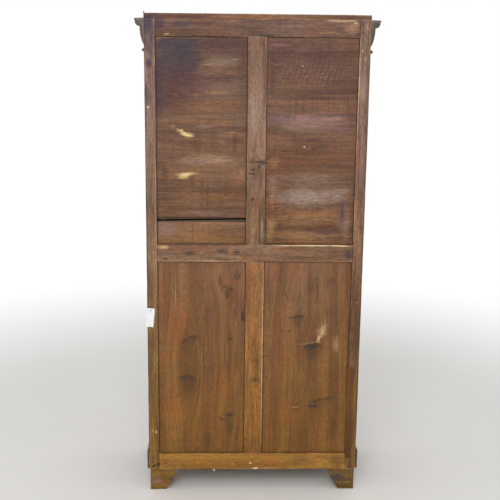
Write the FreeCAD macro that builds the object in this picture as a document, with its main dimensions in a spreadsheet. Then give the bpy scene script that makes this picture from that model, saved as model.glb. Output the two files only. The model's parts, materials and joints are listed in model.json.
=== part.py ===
import FreeCAD, Part
import os
from types import SimpleNamespace
import Sketcher

# Kas cupboard: a tall panelled press with two doors, on bracket feet.
# Millimetres. The doors face -Y and the panelled back faces +Y. Left and right are as seen from the doors,
# so right is +X. The floor is z = 0, and the origin lies under the middle of the footprint.

SIZES = {
    # carcass
    "body_width": 930,
    "body_depth": 450,
    "cupboard_height": 2100,
    "foot_height": 98,
    "post_size": 45,
    "rail_thickness": 25,
    "top_board_thickness": 20,
    # rails, muntins and panels of the back and the sides
    "top_rail_height": 70,
    "middle_rail_base": 1063,
    "middle_rail_height": 75,
    "bottom_rail_height": 76,
    "muntin_width": 78,
    "upper_bevel": 14,
    "lower_bevel": 37,
    "field_recess": 4,
    "field_margin": 1,
    "slip_height": 107,
    "slip_gap": 4,
    # grooves, tenons and pegs
    "groove_setback": 9,
    "groove_width": 8,
    "groove_depth": 9,
    "tenon_length": 22,
    "tenon_shoulder": 10,
    "joint_clearance": 0.15,
    "panel_play": 1.5,
    "peg_radius": 3.5,
    "peg_length": 21,
    "peg_clearance": 0.05,
    # front opening and boards
    "sill_height": 200,
    "frieze_height": 140,
    "board_thickness": 20,
    "board_clearance": 0.5,
    "floor_step": 10,
    "middle_shelf_rise": 38,
    "shelf_setback": 70,
    "bearer_width": 18,
    "bearer_height": 28,
    "bearer_setback": 30,
    "stop_depth": 22,
    "stop_height": 40,
    "stop_drop": 12,
    # cornice, neck bead and base moulding
    "cornice_projection": 38,
    "cornice_height": 104,
    "cornice_toe": 2,
    "cornice_swell": 16,
    "cornice_quirk": 2,
    "cornice_fillet": 8.5,
    "cornice_fillet_step": 3,
    "ovolo_height": 24,
    "swell_share": 0.05,
    "ovolo_share": 0.22,
    "neck_bead_lift": 6,
    "neck_bead_height": 14,
    "neck_bead_flat": 1.5,
    "half_round_share": 0.5,
    "base_moulding_base": 103,
    "base_moulding_height": 96,
    "base_moulding_thickness": 8,
    "base_moulding_lip": 1.5,
    "base_moulding_chamfer": 10,
    # bracket feet
    "foot_inset": 5,
    "bracket_thickness": 20,
    "bracket_length": 117,
    "bracket_toe": 70,
    "bracket_lip": 22,
    "foot_block_size": 45,
    # doors
    "door_thickness": 24,
    "door_gap": 2,
    "meeting_gap": 3,
    "door_stile_width": 75,
    "door_top_rail_height": 75,
    "lock_rail_height": 95,
    "door_bottom_rail_height": 95,
    "door_bevel": 38,
    "door_field_recess": 3,
    # hinges
    "hinge_length": 90,
    "hinge_inset": 190,
    "knuckle_radius": 6,
    "knuckle_clearance": 0.3,
    "middle_knuckle_length": 34,
    "hinge_pin_radius": 3,
    "pin_clearance": 0.05,
    "pin_ball_radius": 5,
    "leaf_thickness": 2.5,
    "leaf_depth": 20,
    # lock, key and keyhole plate
    "lock_inset": 4,
    "lock_case_width": 70,
    "lock_case_height": 110,
    "lock_case_depth": 16,
    "lock_wall": 1.5,
    "lock_bolt_length": 56,
    "lock_bolt_height": 18,
    "lock_bolt_thickness": 8,
    "lock_bolt_rise": 11.5,
    "lock_bolt_throw": 18,
    "lock_clearance": 0.3,
    "talon_width": 30,
    "talon_height": 5,
    "keeper_wall": 4,
    "keeper_room": 1,
    "key_backset": 40,
    "key_shank_radius": 3.5,
    "key_tip_reach": 13,
    "key_bow_radius": 13,
    "key_bow_hole_radius": 8,
    "key_bow_thickness": 5,
    "key_bow_reach": 22,
    "key_collar_radius": 5.5,
    "key_collar_length": 4,
    "key_bit_height": 15,
    "key_bit_thickness": 3.5,
    "key_bit_length": 10,
    "key_bit_setback": 2,
    "keyhole_clearance": 0.6,
    "keyhole_plate_width": 30,
    "keyhole_plate_height": 62,
    "keyhole_plate_thickness": 1.5,
    # rod bolts on the left door
    "rod_radius": 4.5,
    "rod_length": 180,
    "rod_standoff": 12,
    "rod_rest_gap": 3,
    "rod_clearance": 0.3,
    "rod_socket_clearance": 0.6,
    "rod_knob_radius": 7,
    "rod_knob_neck": 5,
    "guide_width": 26,
    "guide_height": 14,
    "guide_wall": 4,
    "guide_inset": 18,
    "guide_spacing": 110,
    # how far a cutter runs past the face that it enters
    "overrun": 1,
}

PEG_RISE_SHARES = (0.28, 0.72)
SIDES = {"left": -1, "right": 1}
ABOUT_X = FreeCAD.Vector(1, 0, 0)
ABOUT_Y = FreeCAD.Vector(0, 1, 0)
ABOUT_Z = FreeCAD.Vector(0, 0, 1)

doc = FreeCAD.newDocument("kas_cupboard")
sheet = doc.addObject("Spreadsheet::Sheet", "Sizes")
for row, (alias, number) in enumerate(SIZES.items(), start=1):
    sheet.set(f"A{row}", alias)
    sheet.set(f"B{row}", str(number))
    sheet.setAlias(f"B{row}", alias)
doc.recompute()


class Size:
    """A number together with the sheet formula that gives it."""

    def __init__(self, number, formula):
        self.number = number
        self.formula = formula

    def __add__(self, other):
        return Size(self.number + other.number, f"({self.formula} + {other.formula})")

    def __sub__(self, other):
        return Size(self.number - other.number, f"({self.formula} - {other.formula})")

    def __neg__(self):
        return Size(-self.number, f"(-{self.formula})")

    def __mul__(self, factor):
        factor = as_size(factor)
        return Size(self.number * factor.number, f"({self.formula} * {factor.formula})")

    def __truediv__(self, divisor):
        divisor = as_size(divisor)
        return Size(self.number / divisor.number, f"({self.formula} / {divisor.formula})")


def as_size(value):
    """A plain factor such as 2 or -1 as a size of its own."""
    return value if isinstance(value, Size) else Size(value, f"({value})")


ZERO = as_size(0)
mm = SimpleNamespace(**{alias: Size(number, f"Sizes.{alias}") for alias, number in SIZES.items()})

# Places that the pieces share
side_x = mm.body_width / 2
inner_x = side_x - mm.post_size
back_y = (mm.body_depth + mm.cornice_projection) / 2
front_y = back_y - mm.body_depth
rear_inner_y = back_y - mm.post_size
front_inner_y = front_y + mm.post_size
frame_front_y = front_y + mm.rail_thickness
frame_back_y = back_y - mm.rail_thickness
post_top = mm.cupboard_height - mm.top_board_thickness
frieze_base = post_top - mm.frieze_height
floor_level = mm.sill_height + mm.floor_step
middle_shelf_level = mm.middle_rail_base + mm.middle_shelf_rise
SHELF_LEVELS = {
    "lower": (floor_level + middle_shelf_level) / 2,
    "middle": middle_shelf_level,
    "upper": (middle_shelf_level + frieze_base) / 2,
}
POST_SPAN = (mm.foot_height, post_top)
TOP_RAIL = (post_top - mm.top_rail_height, post_top)
MIDDLE_RAIL = (mm.middle_rail_base, mm.middle_rail_base + mm.middle_rail_height)
BOTTOM_RAIL = (mm.foot_height, mm.foot_height + mm.bottom_rail_height)
FRAME_RAILS = (TOP_RAIL, MIDDLE_RAIL, BOTTOM_RAIL)
FRIEZE_RAIL = (frieze_base, post_top)
SILL_RAIL = (mm.foot_height, mm.sill_height)
UPPER_PANEL = (MIDDLE_RAIL[1], TOP_RAIL[0])
LOWER_PANEL = (BOTTOM_RAIL[1], MIDDLE_RAIL[0])
GROOVE = (mm.groove_setback, mm.groove_setback + mm.groove_width)
TONGUE = (GROOVE[0] + mm.joint_clearance, GROOVE[1] - mm.joint_clearance)

door_base = mm.sill_height + mm.door_gap
door_head = frieze_base - mm.door_gap
door_back_y = front_y + mm.door_thickness
door_hinge_edge = inner_x - mm.door_gap
door_meeting_edge = mm.meeting_gap / 2
lock_level = MIDDLE_RAIL[0] + mm.middle_rail_height / 2
hinge_x = inner_x - mm.door_gap / 2
hinge_y = front_y - mm.knuckle_radius - mm.knuckle_clearance
HINGE_LEVELS = (door_base + mm.hinge_inset, (door_base + door_head) / 2, door_head - mm.hinge_inset)
stop_base = frieze_base - mm.stop_drop
rod_x = -(door_meeting_edge + mm.door_stile_width / 2)
rod_y = door_back_y + mm.rod_standoff

nodes = []


def node(label, piece):
    """Names a finished sub-part."""
    piece.Label = label
    nodes.append(piece)


def bind(thing, **sizes):
    for name, size in sizes.items():
        thing.setExpression(name, size.formula)


def put(thing, x, y, z, turn=None):
    """Places a thing by its corner or centre, turned first if a turn is given."""
    if turn:
        thing.Placement = FreeCAD.Placement(FreeCAD.Vector(), turn)
    for axis, size in zip("xyz", (x, y, z)):
        thing.setExpression(f"Placement.Base.{axis}", size.formula)
    return thing


def box(x, y, z):
    """A box between a low and a high place along each axis."""
    block = doc.addObject("Part::Box", "block")
    bind(block, Length=x[1] - x[0], Width=y[1] - y[0], Height=z[1] - z[0])
    return put(block, x[0], y[0], z[0])


def cylinder(axis, radius, x, y, z):
    """A round bar along one axis: that axis takes a low and a high place, the others a centre."""
    bar = doc.addObject("Part::Cylinder", "bar")
    places = {"x": x, "y": y, "z": z}
    low, high = places[axis]
    places[axis] = low
    bind(bar, Radius=radius, Height=high - low)
    turns = {"x": FreeCAD.Rotation(ABOUT_Y, 90), "y": FreeCAD.Rotation(ABOUT_X, -90), "z": None}
    return put(bar, places["x"], places["y"], places["z"], turns[axis])


def ball(radius, x, y, z):
    sphere = doc.addObject("Part::Sphere", "ball")
    bind(sphere, Radius=radius)
    return put(sphere, x, y, z)


def fuse(*pieces):
    joined = doc.addObject("Part::MultiFuse", "joined")
    joined.Shapes = list(pieces)
    joined.Refine = True
    return joined


def cut(piece, *cutters):
    trimmed = doc.addObject("Part::Cut", "trimmed")
    trimmed.Base = piece
    trimmed.Tool = cutters[0] if len(cutters) == 1 else fuse(*cutters)
    trimmed.Refine = True
    return trimmed


def group(*pieces):
    """Separate solids that share one node."""
    together = doc.addObject("Part::Compound", "together")
    together.Links = list(pieces)
    return together


def span(side, inner, outer):
    """Low and high x of something between two distances from the middle, on one side."""
    return (inner, outer) if side > 0 else (-outer, -inner)


def grown(stretch, margin):
    return (stretch[0] - margin, stretch[1] + margin)


def shrunk(stretch, margin):
    return (stretch[0] + margin, stretch[1] - margin)


# Sections drawn in sketches, for mouldings, brackets and plates


def draw(sketch, points, bulges):
    """Closed outline through the points. A bulge is an arc's rise as a share of its chord."""
    planar = [FreeCAD.Vector(across.number, up.number, 0) for across, up in points]
    starts = []
    for index, start in enumerate(planar):
        end = planar[(index + 1) % len(planar)]
        bulge = bulges[index].number if index in bulges else 0
        chord = end - start
        middle = (start + end) / 2 + FreeCAD.Vector(chord.y, -chord.x, 0) * bulge
        if bulge > 0:
            edge = Part.Arc(start, middle, end)
        elif bulge < 0:
            edge = Part.Arc(end, middle, start)
        else:
            edge = Part.LineSegment(start, end)
        sketch.addGeometry(edge, False)
        starts.append(2 if bulge < 0 else 1)
    for index, (across, up) in enumerate(points):
        before = index - 1 if index else len(points) - 1
        corner = Sketcher.Constraint("Coincident", before, 3 - starts[before], index, starts[index])
        sketch.addConstraint(corner)
        for kind, size in (("DistanceX", across), ("DistanceY", up)):
            place = Sketcher.Constraint(kind, -1, 1, index, starts[index], size.number)
            row = sketch.addConstraint(place)
            sketch.setExpression(f"Constraints[{row}]", size.formula)
    for index, bulge in bulges.items():
        start = points[index]
        end = points[(index + 1) % len(points)]
        run = end[0] - start[0]
        rise = end[1] - start[1]
        setback = as_size(1) / bulge / 8 - bulge / 2
        if abs(rise.number) > abs(run.number):
            kind, centre = "DistanceX", (start[0] + end[0]) / 2 - rise * setback
        else:
            kind, centre = "DistanceY", (start[1] + end[1]) / 2 + run * setback
        row = sketch.addConstraint(Sketcher.Constraint(kind, -1, 1, index, 3, centre.number))
        sketch.setExpression(f"Constraints[{row}]", centre.formula)


def prism(plane, points, start, length, bulges=None):
    """An outline pushed to a length: from the YZ plane towards +X, from the XZ plane towards -Y."""
    body = doc.addObject("PartDesign::Body", "section_body")
    sketch = body.newObject("Sketcher::SketchObject", "section")
    origin_plane = next(face for face in body.Origin.OriginFeatures if face.Role == plane)
    sketch.AttachmentSupport = [(origin_plane, "")]
    sketch.MapMode = "FlatFace"
    doc.recompute()
    draw(sketch, points, bulges or {})
    pad = body.newObject("PartDesign::Pad", "length")
    pad.Profile = sketch
    bind(pad, Length=length)
    if plane == "YZ_Plane":
        return put(body, start, ZERO, ZERO)
    return put(body, ZERO, start, ZERO)


def mitre(x, y, degrees, reach, height):
    """A square-cornered cutter whose corner stands at (x, y), turned about the upright."""
    cutter = doc.addObject("Part::Box", "mitre")
    bind(cutter, Length=reach, Width=reach, Height=height[1] - height[0])
    return put(cutter, x, y, height[0], FreeCAD.Rotation(ABOUT_Z, degrees))


# Framed panelling, used for the back, the sides, the front and the doors


class Panelling:
    """A flat frame: the axis that runs across it, its outer face, and the way inward from that face."""

    def __init__(self, across, face, inward):
        self.across = across
        self.face = face
        self.inward = inward

    def through(self, near, far):
        """Low and high places of a slice between two depths behind the outer face."""
        if self.inward > 0:
            return (self.face + near, self.face + far)
        return (self.face - far, self.face - near)

    def box(self, across, depth, height):
        through = self.through(*depth)
        if self.across == "x":
            return box(across, through, height)
        return box(through, across, height)

    def rod(self, radius, across, depth, height):
        """A round bar square to the frame."""
        through = self.through(*depth)
        if self.across == "x":
            return cylinder("y", radius, across, through, height)
        return cylinder("x", radius, through, across, height)

    def slot(self, edge, toward, reach, height):
        """A cutter in the groove's place, entering an upright's edge."""
        stretch = (edge - mm.overrun, edge + reach) if toward > 0 else (edge - reach, edge + mm.overrun)
        return self.box(stretch, GROOVE, height)

    def upright_cuts(self, edge, toward, rails, grooved=True):
        """Mortises for the rails that meet an upright's edge, and the panel groove between them."""
        reach = mm.tenon_length + mm.joint_clearance
        tenons = [shrunk(rail, mm.tenon_shoulder) for rail in rails]
        cuts = [self.slot(edge, toward, reach, grown(tenon, mm.joint_clearance)) for tenon in tenons]
        if grooved:
            whole = (tenons[-1][0], tenons[0][1])
            cuts.append(self.slot(edge, toward, mm.groove_depth, whole))
        return cuts

    def peg_place(self, edge, toward, rail, share):
        across = edge + mm.tenon_length * toward / 2
        height = rail[0] + (rail[1] - rail[0]) * share
        return across, height

    def pegs(self, edge, toward, rails, radius, near):
        """Bars where pegs pass through the tenons that enter an upright's edge."""
        bars = []
        for rail in rails:
            for share in PEG_RISE_SHARES:
                across, height = self.peg_place(edge, toward, rail, share)
                bars.append(self.rod(radius, across, (near, mm.peg_length), height))
        return bars

    def rail(self, across, height, thickness, panel_edges=(), muntin_edges=(), pegged=True):
        """A level member with a tenon at each end, and grooves and muntin mortises in its edges."""
        low, high = across
        wood = self.box(across, (ZERO, thickness), height)
        tenons = self.box(grown(across, mm.tenon_length), TONGUE, shrunk(height, mm.tenon_shoulder))
        cuts = []
        for edge in panel_edges:
            cuts.append(self.box(across, GROOVE, edge_slot(height, edge, mm.groove_depth)))
        for edge in muntin_edges:
            width = mm.muntin_width / 2 - mm.tenon_shoulder + mm.joint_clearance
            reach = mm.tenon_length + mm.joint_clearance
            cuts.append(self.box((-width, width), GROOVE, edge_slot(height, edge, reach)))
        if pegged:
            hole = mm.peg_radius + mm.peg_clearance
            cuts += self.pegs(low, -1, [height], hole, ZERO)
            cuts += self.pegs(high, 1, [height], hole, ZERO)
        joined = fuse(wood, tenons)
        return cut(joined, *cuts) if cuts else joined

    def muntin(self, height):
        """An upright on the middle line, tenoned into the rails above and below, grooved on both edges."""
        half = mm.muntin_width / 2
        wood = self.box((-half, half), (ZERO, mm.rail_thickness), height)
        tenon_half = half - mm.tenon_shoulder
        tenons = self.box((-tenon_half, tenon_half), TONGUE, grown(height, mm.tenon_length))
        edges = ((-half, 1), (half, -1))
        grooves = [self.slot(edge, toward, mm.groove_depth, height) for edge, toward in edges]
        return cut(fuse(wood, tenons), *grooves)

    def panel(self, across, height, bevel, recess, free_edge=None):
        """A board held in the grooves with a raised field outside. A free edge has no tongue or bevel."""
        reach = mm.groove_depth - mm.panel_play
        foot = ZERO if free_edge == "bottom" else mm.groove_depth
        head = ZERO if free_edge == "top" else reach
        board = self.box(grown(across, reach), TONGUE, (height[0] - foot, height[1] + head))
        rim_across = shrunk(across, mm.field_margin)
        field_across = shrunk(across, bevel)
        rim_low = height[0] if free_edge == "bottom" else height[0] + mm.field_margin
        rim_high = height[1] if free_edge == "top" else height[1] - mm.field_margin
        field_low = height[0] if free_edge == "bottom" else height[0] + bevel
        field_high = height[1] if free_edge == "top" else height[1] - bevel
        rim = (rim_across, (rim_low, rim_high))
        field = (field_across, (field_low, field_high))
        return fuse(board, self.raised_field(rim, field, recess))

    def raised_field(self, rim, field, recess):
        """The bevelled part of a panel, from its rim on the tongue out to its flat field."""
        low, high = self.through(recess, TONGUE[0])
        field_first = self.inward > 0
        wedge = doc.addObject("Part::Wedge", "raised_field")
        if self.across == "y":
            low, high = -high, -low
            field_first = not field_first
            wedge.Placement = FreeCAD.Placement(FreeCAD.Vector(), FreeCAD.Rotation(ABOUT_Z, 90))
        first, second = (field, rim) if field_first else (rim, field)
        bind(wedge, Ymin=low, Ymax=high)
        bind(wedge, Xmin=first[0][0], Xmax=first[0][1], Zmin=first[1][0], Zmax=first[1][1])
        bind(wedge, X2min=second[0][0], X2max=second[0][1], Z2min=second[1][0], Z2max=second[1][1])
        return wedge


def edge_slot(height, edge, reach):
    """The height that a slot of some reach takes from a rail's top or bottom edge."""
    if edge == "top":
        return (height[1] - reach, height[1] + mm.overrun)
    return (height[0] - mm.overrun, height[0] + reach)


BACK = Panelling("x", back_y, -1)
FRONT = Panelling("x", front_y, 1)
FLANKS = {"left": Panelling("y", -side_x, 1), "right": Panelling("y", side_x, -1)}


# Carcass frame


def hinge_plate(side, face, level, depth_end):
    """The room of one hinge leaf's plate, which lies behind the face of a post or a door edge."""
    low = level - mm.hinge_length / 2
    high = level + mm.hinge_length / 2
    stretch = span(side, face, face + mm.leaf_thickness)
    return box(stretch, (front_y, depth_end), (low, high))


def rear_post(name, side):
    wood = box(span(side, inner_x, side_x), (rear_inner_y, back_y), POST_SPAN)
    flank = FLANKS[name]
    hole = mm.peg_radius + mm.peg_clearance
    cuts = BACK.upright_cuts(inner_x * side, side, FRAME_RAILS)
    cuts += flank.upright_cuts(rear_inner_y, 1, FRAME_RAILS)
    cuts += BACK.pegs(inner_x * side, side, FRAME_RAILS, hole, -mm.overrun)
    cuts += flank.pegs(rear_inner_y, 1, FRAME_RAILS, hole, -mm.overrun)
    node(f"rear_post_{name}", cut(wood, *cuts))


def front_post(name, side):
    wood = box(span(side, inner_x, side_x), (front_y, front_inner_y), POST_SPAN)
    flank = FLANKS[name]
    hole = mm.peg_radius + mm.peg_clearance
    cuts = FRONT.upright_cuts(inner_x * side, side, (FRIEZE_RAIL, SILL_RAIL), grooved=False)
    cuts += flank.upright_cuts(front_inner_y, -1, FRAME_RAILS)
    cuts += FRONT.pegs(inner_x * side, side, (FRIEZE_RAIL, SILL_RAIL), hole, -mm.overrun)
    cuts += flank.pegs(front_inner_y, -1, FRAME_RAILS, hole, -mm.overrun)
    cuts += [hinge_plate(side, inner_x, level, front_y + mm.leaf_depth) for level in HINGE_LEVELS]
    node(f"front_post_{name}", cut(wood, *cuts))


def frame_pegs():
    bars = []
    for name, side in SIDES.items():
        flank = FLANKS[name]
        bars += BACK.pegs(inner_x * side, side, FRAME_RAILS, mm.peg_radius, ZERO)
        bars += FRONT.pegs(inner_x * side, side, (FRIEZE_RAIL, SILL_RAIL), mm.peg_radius, ZERO)
        bars += flank.pegs(rear_inner_y, 1, FRAME_RAILS, mm.peg_radius, ZERO)
        bars += flank.pegs(front_inner_y, -1, FRAME_RAILS, mm.peg_radius, ZERO)
    node("frame_pegs", group(*bars))


def back_frame():
    across = (-inner_x, inner_x)
    thickness = mm.rail_thickness
    both = ("top", "bottom")
    node("back_top_rail", BACK.rail(across, TOP_RAIL, thickness, ("bottom",), ("bottom",)))
    node("back_middle_rail", BACK.rail(across, MIDDLE_RAIL, thickness, both, both))
    node("back_bottom_rail", BACK.rail(across, BOTTOM_RAIL, thickness, ("top",), ("top",)))
    node("back_upper_muntin", BACK.muntin(UPPER_PANEL))
    node("back_lower_muntin", BACK.muntin(LOWER_PANEL))


def back_panels():
    slip_top = UPPER_PANEL[0] + mm.slip_height
    slip = (UPPER_PANEL[0], slip_top)
    split_panel = (slip_top + mm.slip_gap, UPPER_PANEL[1])
    left = span(-1, mm.muntin_width / 2, inner_x)
    right = span(1, mm.muntin_width / 2, inner_x)
    upper = (mm.upper_bevel, mm.field_recess)
    lower = (mm.lower_bevel, mm.field_recess)
    node("back_upper_panel_left", BACK.panel(left, UPPER_PANEL, *upper))
    node("back_upper_panel_right", BACK.panel(right, split_panel, *upper, free_edge="bottom"))
    node("back_slip_board", BACK.panel(right, slip, *upper, free_edge="top"))
    node("back_lower_panel_left", BACK.panel(left, LOWER_PANEL, *lower))
    node("back_lower_panel_right", BACK.panel(right, LOWER_PANEL, *lower))


def flank_frame(name):
    flank = FLANKS[name]
    across = (front_inner_y, rear_inner_y)
    panel_edges = (("bottom",), ("top", "bottom"), ("top",))
    pairs = zip(FRAME_RAILS, panel_edges)
    rails = [flank.rail(across, rail, mm.rail_thickness, edges) for rail, edges in pairs]
    node(f"side_rails_{name}", group(*rails))
    heights = (UPPER_PANEL, LOWER_PANEL)
    panels = [flank.panel(across, height, mm.lower_bevel, mm.field_recess) for height in heights]
    node(f"side_panels_{name}", group(*panels))


def front_rails():
    across = (-inner_x, inner_x)
    node("front_top_rail", FRONT.rail(across, FRIEZE_RAIL, mm.rail_thickness))
    node("front_bottom_rail", FRONT.rail(across, SILL_RAIL, mm.rail_thickness))


# Boards, shelves and battens


def rod_socket(height):
    """The hole that a rod bolt enters when it is thrown."""
    return cylinder("z", mm.rod_radius + mm.rod_socket_clearance, rod_x, rod_y, grown(height, mm.overrun))


def notched_board(level, front):
    """A board between the side frames, notched round the posts."""
    half = side_x - mm.rail_thickness - mm.board_clearance
    height = (level - mm.board_thickness, level)
    board = box((-half, half), (front, frame_back_y - mm.board_clearance), height)
    notches = []
    for side in SIDES.values():
        notch = span(side, inner_x - mm.board_clearance, side_x)
        tall = grown(height, mm.overrun)
        notches.append(box(notch, (rear_inner_y - mm.board_clearance, back_y), tall))
        notches.append(box(notch, (front_y, front_inner_y + mm.board_clearance), tall))
    return board, notches, height


def boards():
    node("top_board", box((-side_x, side_x), (front_y, back_y), (post_top, mm.cupboard_height)))
    board, notches, height = notched_board(floor_level, frame_front_y)
    node("bottom_board", cut(board, *notches, rod_socket(height)))
    for name, level in SHELF_LEVELS.items():
        board, notches, height = notched_board(level, front_y + mm.shelf_setback)
        node(f"shelf_{name}", cut(board, *notches))


def inner_battens():
    """Two bearers under each board, and the strip under the frieze that stops the doors."""
    battens = []
    for level in (floor_level, *SHELF_LEVELS.values()):
        underside = level - mm.board_thickness
        depth = (front_y + mm.bearer_setback, back_y - mm.bearer_setback)
        for side in SIDES.values():
            across = span(side, inner_x - mm.bearer_width, inner_x)
            battens.append(box(across, depth, (underside - mm.bearer_height, underside)))
    height = (stop_base, stop_base + mm.stop_height)
    strip = box((-inner_x, inner_x), (frame_front_y, frame_front_y + mm.stop_depth), height)
    battens.append(cut(strip, rod_socket(height)))
    node("inner_battens", group(*battens))


# Mouldings


def planted(where, outline, bulges, projection):
    """A moulding on the front or on one side, mitred where two of them meet."""
    height = grown((outline[0][1], outline[-1][1]), mm.overrun)
    reach = projection * 2 + mm.overrun
    if where == "front":
        points = [(front_y - out, up) for out, up in outline]
        half = side_x + projection
        wood = prism("YZ_Plane", points, -half, half * 2, bulges)
        ends = ((side_x, -45), (-side_x, 135))
        return cut(wood, *[mitre(x, front_y, degrees, reach, height) for x, degrees in ends])
    side = SIDES[where]
    points = [((side_x + out) * side, up) for out, up in outline]
    flipped = {index: bulge * side for index, bulge in bulges.items()}
    wood = prism("XZ_Plane", points, back_y, mm.body_depth + projection, flipped)
    return cut(wood, mitre(side_x * side, front_y, 225, reach, height))


def cornice():
    base = post_top - mm.cornice_height
    ovolo_top = post_top - mm.cornice_fillet
    ovolo_base = ovolo_top - mm.ovolo_height
    outline = [
        (ZERO, base),
        (mm.cornice_toe, base),
        (mm.cornice_swell, ovolo_base),
        (mm.cornice_swell + mm.cornice_quirk, ovolo_base),
        (mm.cornice_projection - mm.cornice_fillet_step, ovolo_top),
        (mm.cornice_projection, ovolo_top),
        (mm.cornice_projection, post_top),
        (ZERO, post_top),
    ]
    for where in ("front", "left", "right"):
        sense = -1 if where == "front" else 1
        bulges = {1: mm.swell_share * sense, 3: mm.ovolo_share * sense}
        node(f"cornice_{where}", planted(where, outline, bulges, mm.cornice_projection))


def neck_beads():
    base = frieze_base + mm.neck_bead_lift
    top = base + mm.neck_bead_height
    outline = [(ZERO, base), (mm.neck_bead_flat, base), (mm.neck_bead_flat, top), (ZERO, top)]
    projection = mm.neck_bead_flat + mm.neck_bead_height * mm.half_round_share
    beads = []
    for where in ("front", "left", "right"):
        sense = -1 if where == "front" else 1
        beads.append(planted(where, outline, {1: mm.half_round_share * sense}, projection))
    node("neck_beads", group(*beads))


def base_mouldings():
    base = mm.base_moulding_base
    top = base + mm.base_moulding_height
    thickness = mm.base_moulding_thickness
    outline = [
        (ZERO, base),
        (thickness, base),
        (thickness, top - mm.base_moulding_chamfer),
        (mm.base_moulding_lip, top),
        (ZERO, top),
    ]
    for where in ("front", "left", "right"):
        node(f"base_moulding_{where}", planted(where, outline, {}, thickness))


# Bracket feet


def bracket_outline(corner, toward, start):
    """A bracket seen square on: `start` is where it begins, measured like its toe from the corner."""
    lip_base = mm.foot_height - mm.bracket_lip
    shape = (
        (start, ZERO),
        (mm.bracket_toe, ZERO),
        (mm.bracket_length, lip_base),
        (mm.bracket_length, mm.foot_height),
        (start, mm.foot_height),
    )
    return [(corner + along * toward, up) for along, up in shape]


def foot(end, name, side):
    """Two bracket boards at a corner and the block behind them that carries the weight."""
    thickness = mm.bracket_thickness
    corner_x = side_x - mm.foot_inset
    outer_x = corner_x * side
    flank_start = corner_x - thickness if side > 0 else -corner_x
    block_x = span(side, corner_x - thickness - mm.foot_block_size, corner_x - thickness)
    height = (ZERO, mm.foot_height)
    cross_outline = bracket_outline(outer_x, -side, ZERO)
    if end == "rear":
        cross = prism("XZ_Plane", cross_outline, back_y, thickness)
        flank = prism("YZ_Plane", bracket_outline(back_y, -1, thickness), flank_start, thickness)
        block_y = (back_y - thickness - mm.foot_block_size, back_y - thickness)
    else:
        outer_y = front_y + mm.foot_inset
        reach = thickness * 2
        tall = grown(height, mm.overrun)
        cross = prism("XZ_Plane", cross_outline, outer_y + thickness, thickness)
        cross = cut(cross, mitre(outer_x, outer_y, 45, reach, tall))
        flank = prism("YZ_Plane", bracket_outline(outer_y, 1, ZERO), flank_start, thickness)
        flank = cut(flank, mitre(outer_x, outer_y, 135 if side > 0 else -45, reach, tall))
        block_y = (outer_y + thickness, outer_y + thickness + mm.foot_block_size)
    node(f"foot_{end}_{name}", group(cross, flank, box(block_x, block_y, height)))


# Doors

LOCK_RAIL = (lock_level - mm.lock_rail_height / 2, lock_level + mm.lock_rail_height / 2)
DOOR_RAILS = (
    (door_head - mm.door_top_rail_height, door_head),
    LOCK_RAIL,
    (door_base, door_base + mm.door_bottom_rail_height),
)


def keyhole(depth):
    """The hole that lets the key's shank and bit through, between two depths behind the front."""
    x = key_x()
    shank = FRONT.rod(mm.key_shank_radius + mm.keyhole_clearance, x, depth, lock_level)
    half = mm.key_bit_thickness / 2 + mm.keyhole_clearance
    drop = mm.key_bit_height + mm.keyhole_clearance
    slot = FRONT.box((x - half, x + half), depth, (lock_level - drop, lock_level))
    return fuse(shank, slot)


def key_x():
    return door_meeting_edge + mm.lock_inset + mm.key_backset


def door(name, side):
    height = (door_base, door_head)
    thickness = mm.door_thickness
    width = mm.door_stile_width
    hinge_inner = door_hinge_edge - width
    meeting_inner = door_meeting_edge + width
    opening = span(side, meeting_inner, hinge_inner)
    hinge_cuts = FRONT.upright_cuts(hinge_inner * side, side, DOOR_RAILS)
    leaf_face = door_hinge_edge - mm.leaf_thickness
    hinge_cuts += [hinge_plate(side, leaf_face, level, front_y + mm.leaf_depth) for level in HINGE_LEVELS]
    hinge_stile = FRONT.box(span(side, hinge_inner, door_hinge_edge), (ZERO, thickness), height)
    node(f"door_{name}_hinge_stile", cut(hinge_stile, *hinge_cuts))
    meeting_cuts = FRONT.upright_cuts(meeting_inner * side, -side, DOOR_RAILS)
    if name == "right":
        meeting_cuts.append(keyhole((-mm.overrun, thickness + mm.overrun)))
    meeting_stile = FRONT.box(span(side, door_meeting_edge, meeting_inner), (ZERO, thickness), height)
    node(f"door_{name}_meeting_stile", cut(meeting_stile, *meeting_cuts))
    panel_edges = (("bottom",), ("top", "bottom"), ("top",))
    pairs = zip(DOOR_RAILS, panel_edges)
    rails = [FRONT.rail(opening, rail, thickness, edges, pegged=False) for rail, edges in pairs]
    node(f"door_{name}_rails", group(*rails))
    panel_heights = {"upper": (LOCK_RAIL[1], DOOR_RAILS[0][0]), "lower": (DOOR_RAILS[2][1], LOCK_RAIL[0])}
    for place, stretch in panel_heights.items():
        panel = FRONT.panel(opening, stretch, mm.door_bevel, mm.door_field_recess)
        node(f"door_{name}_{place}_panel", panel)


# Hinges


def hinge_leaf(side, face, level, knuckles):
    """A let-in plate with its knuckles, and a tab from each knuckle back to the plate."""
    pieces = [hinge_plate(side, face, level, front_y + mm.leaf_depth)]
    stretch = span(side, face, face + mm.leaf_thickness)
    for low, high in knuckles:
        height = (level + low, level + high)
        pieces.append(box(stretch, (hinge_y, front_y), height))
        pieces.append(cylinder("z", mm.knuckle_radius, hinge_x * side, hinge_y, height))
    whole = (level - mm.hinge_length, level + mm.hinge_length)
    hole = cylinder("z", mm.hinge_pin_radius + mm.pin_clearance, hinge_x * side, hinge_y, whole)
    return cut(fuse(*pieces), hole)


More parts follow.
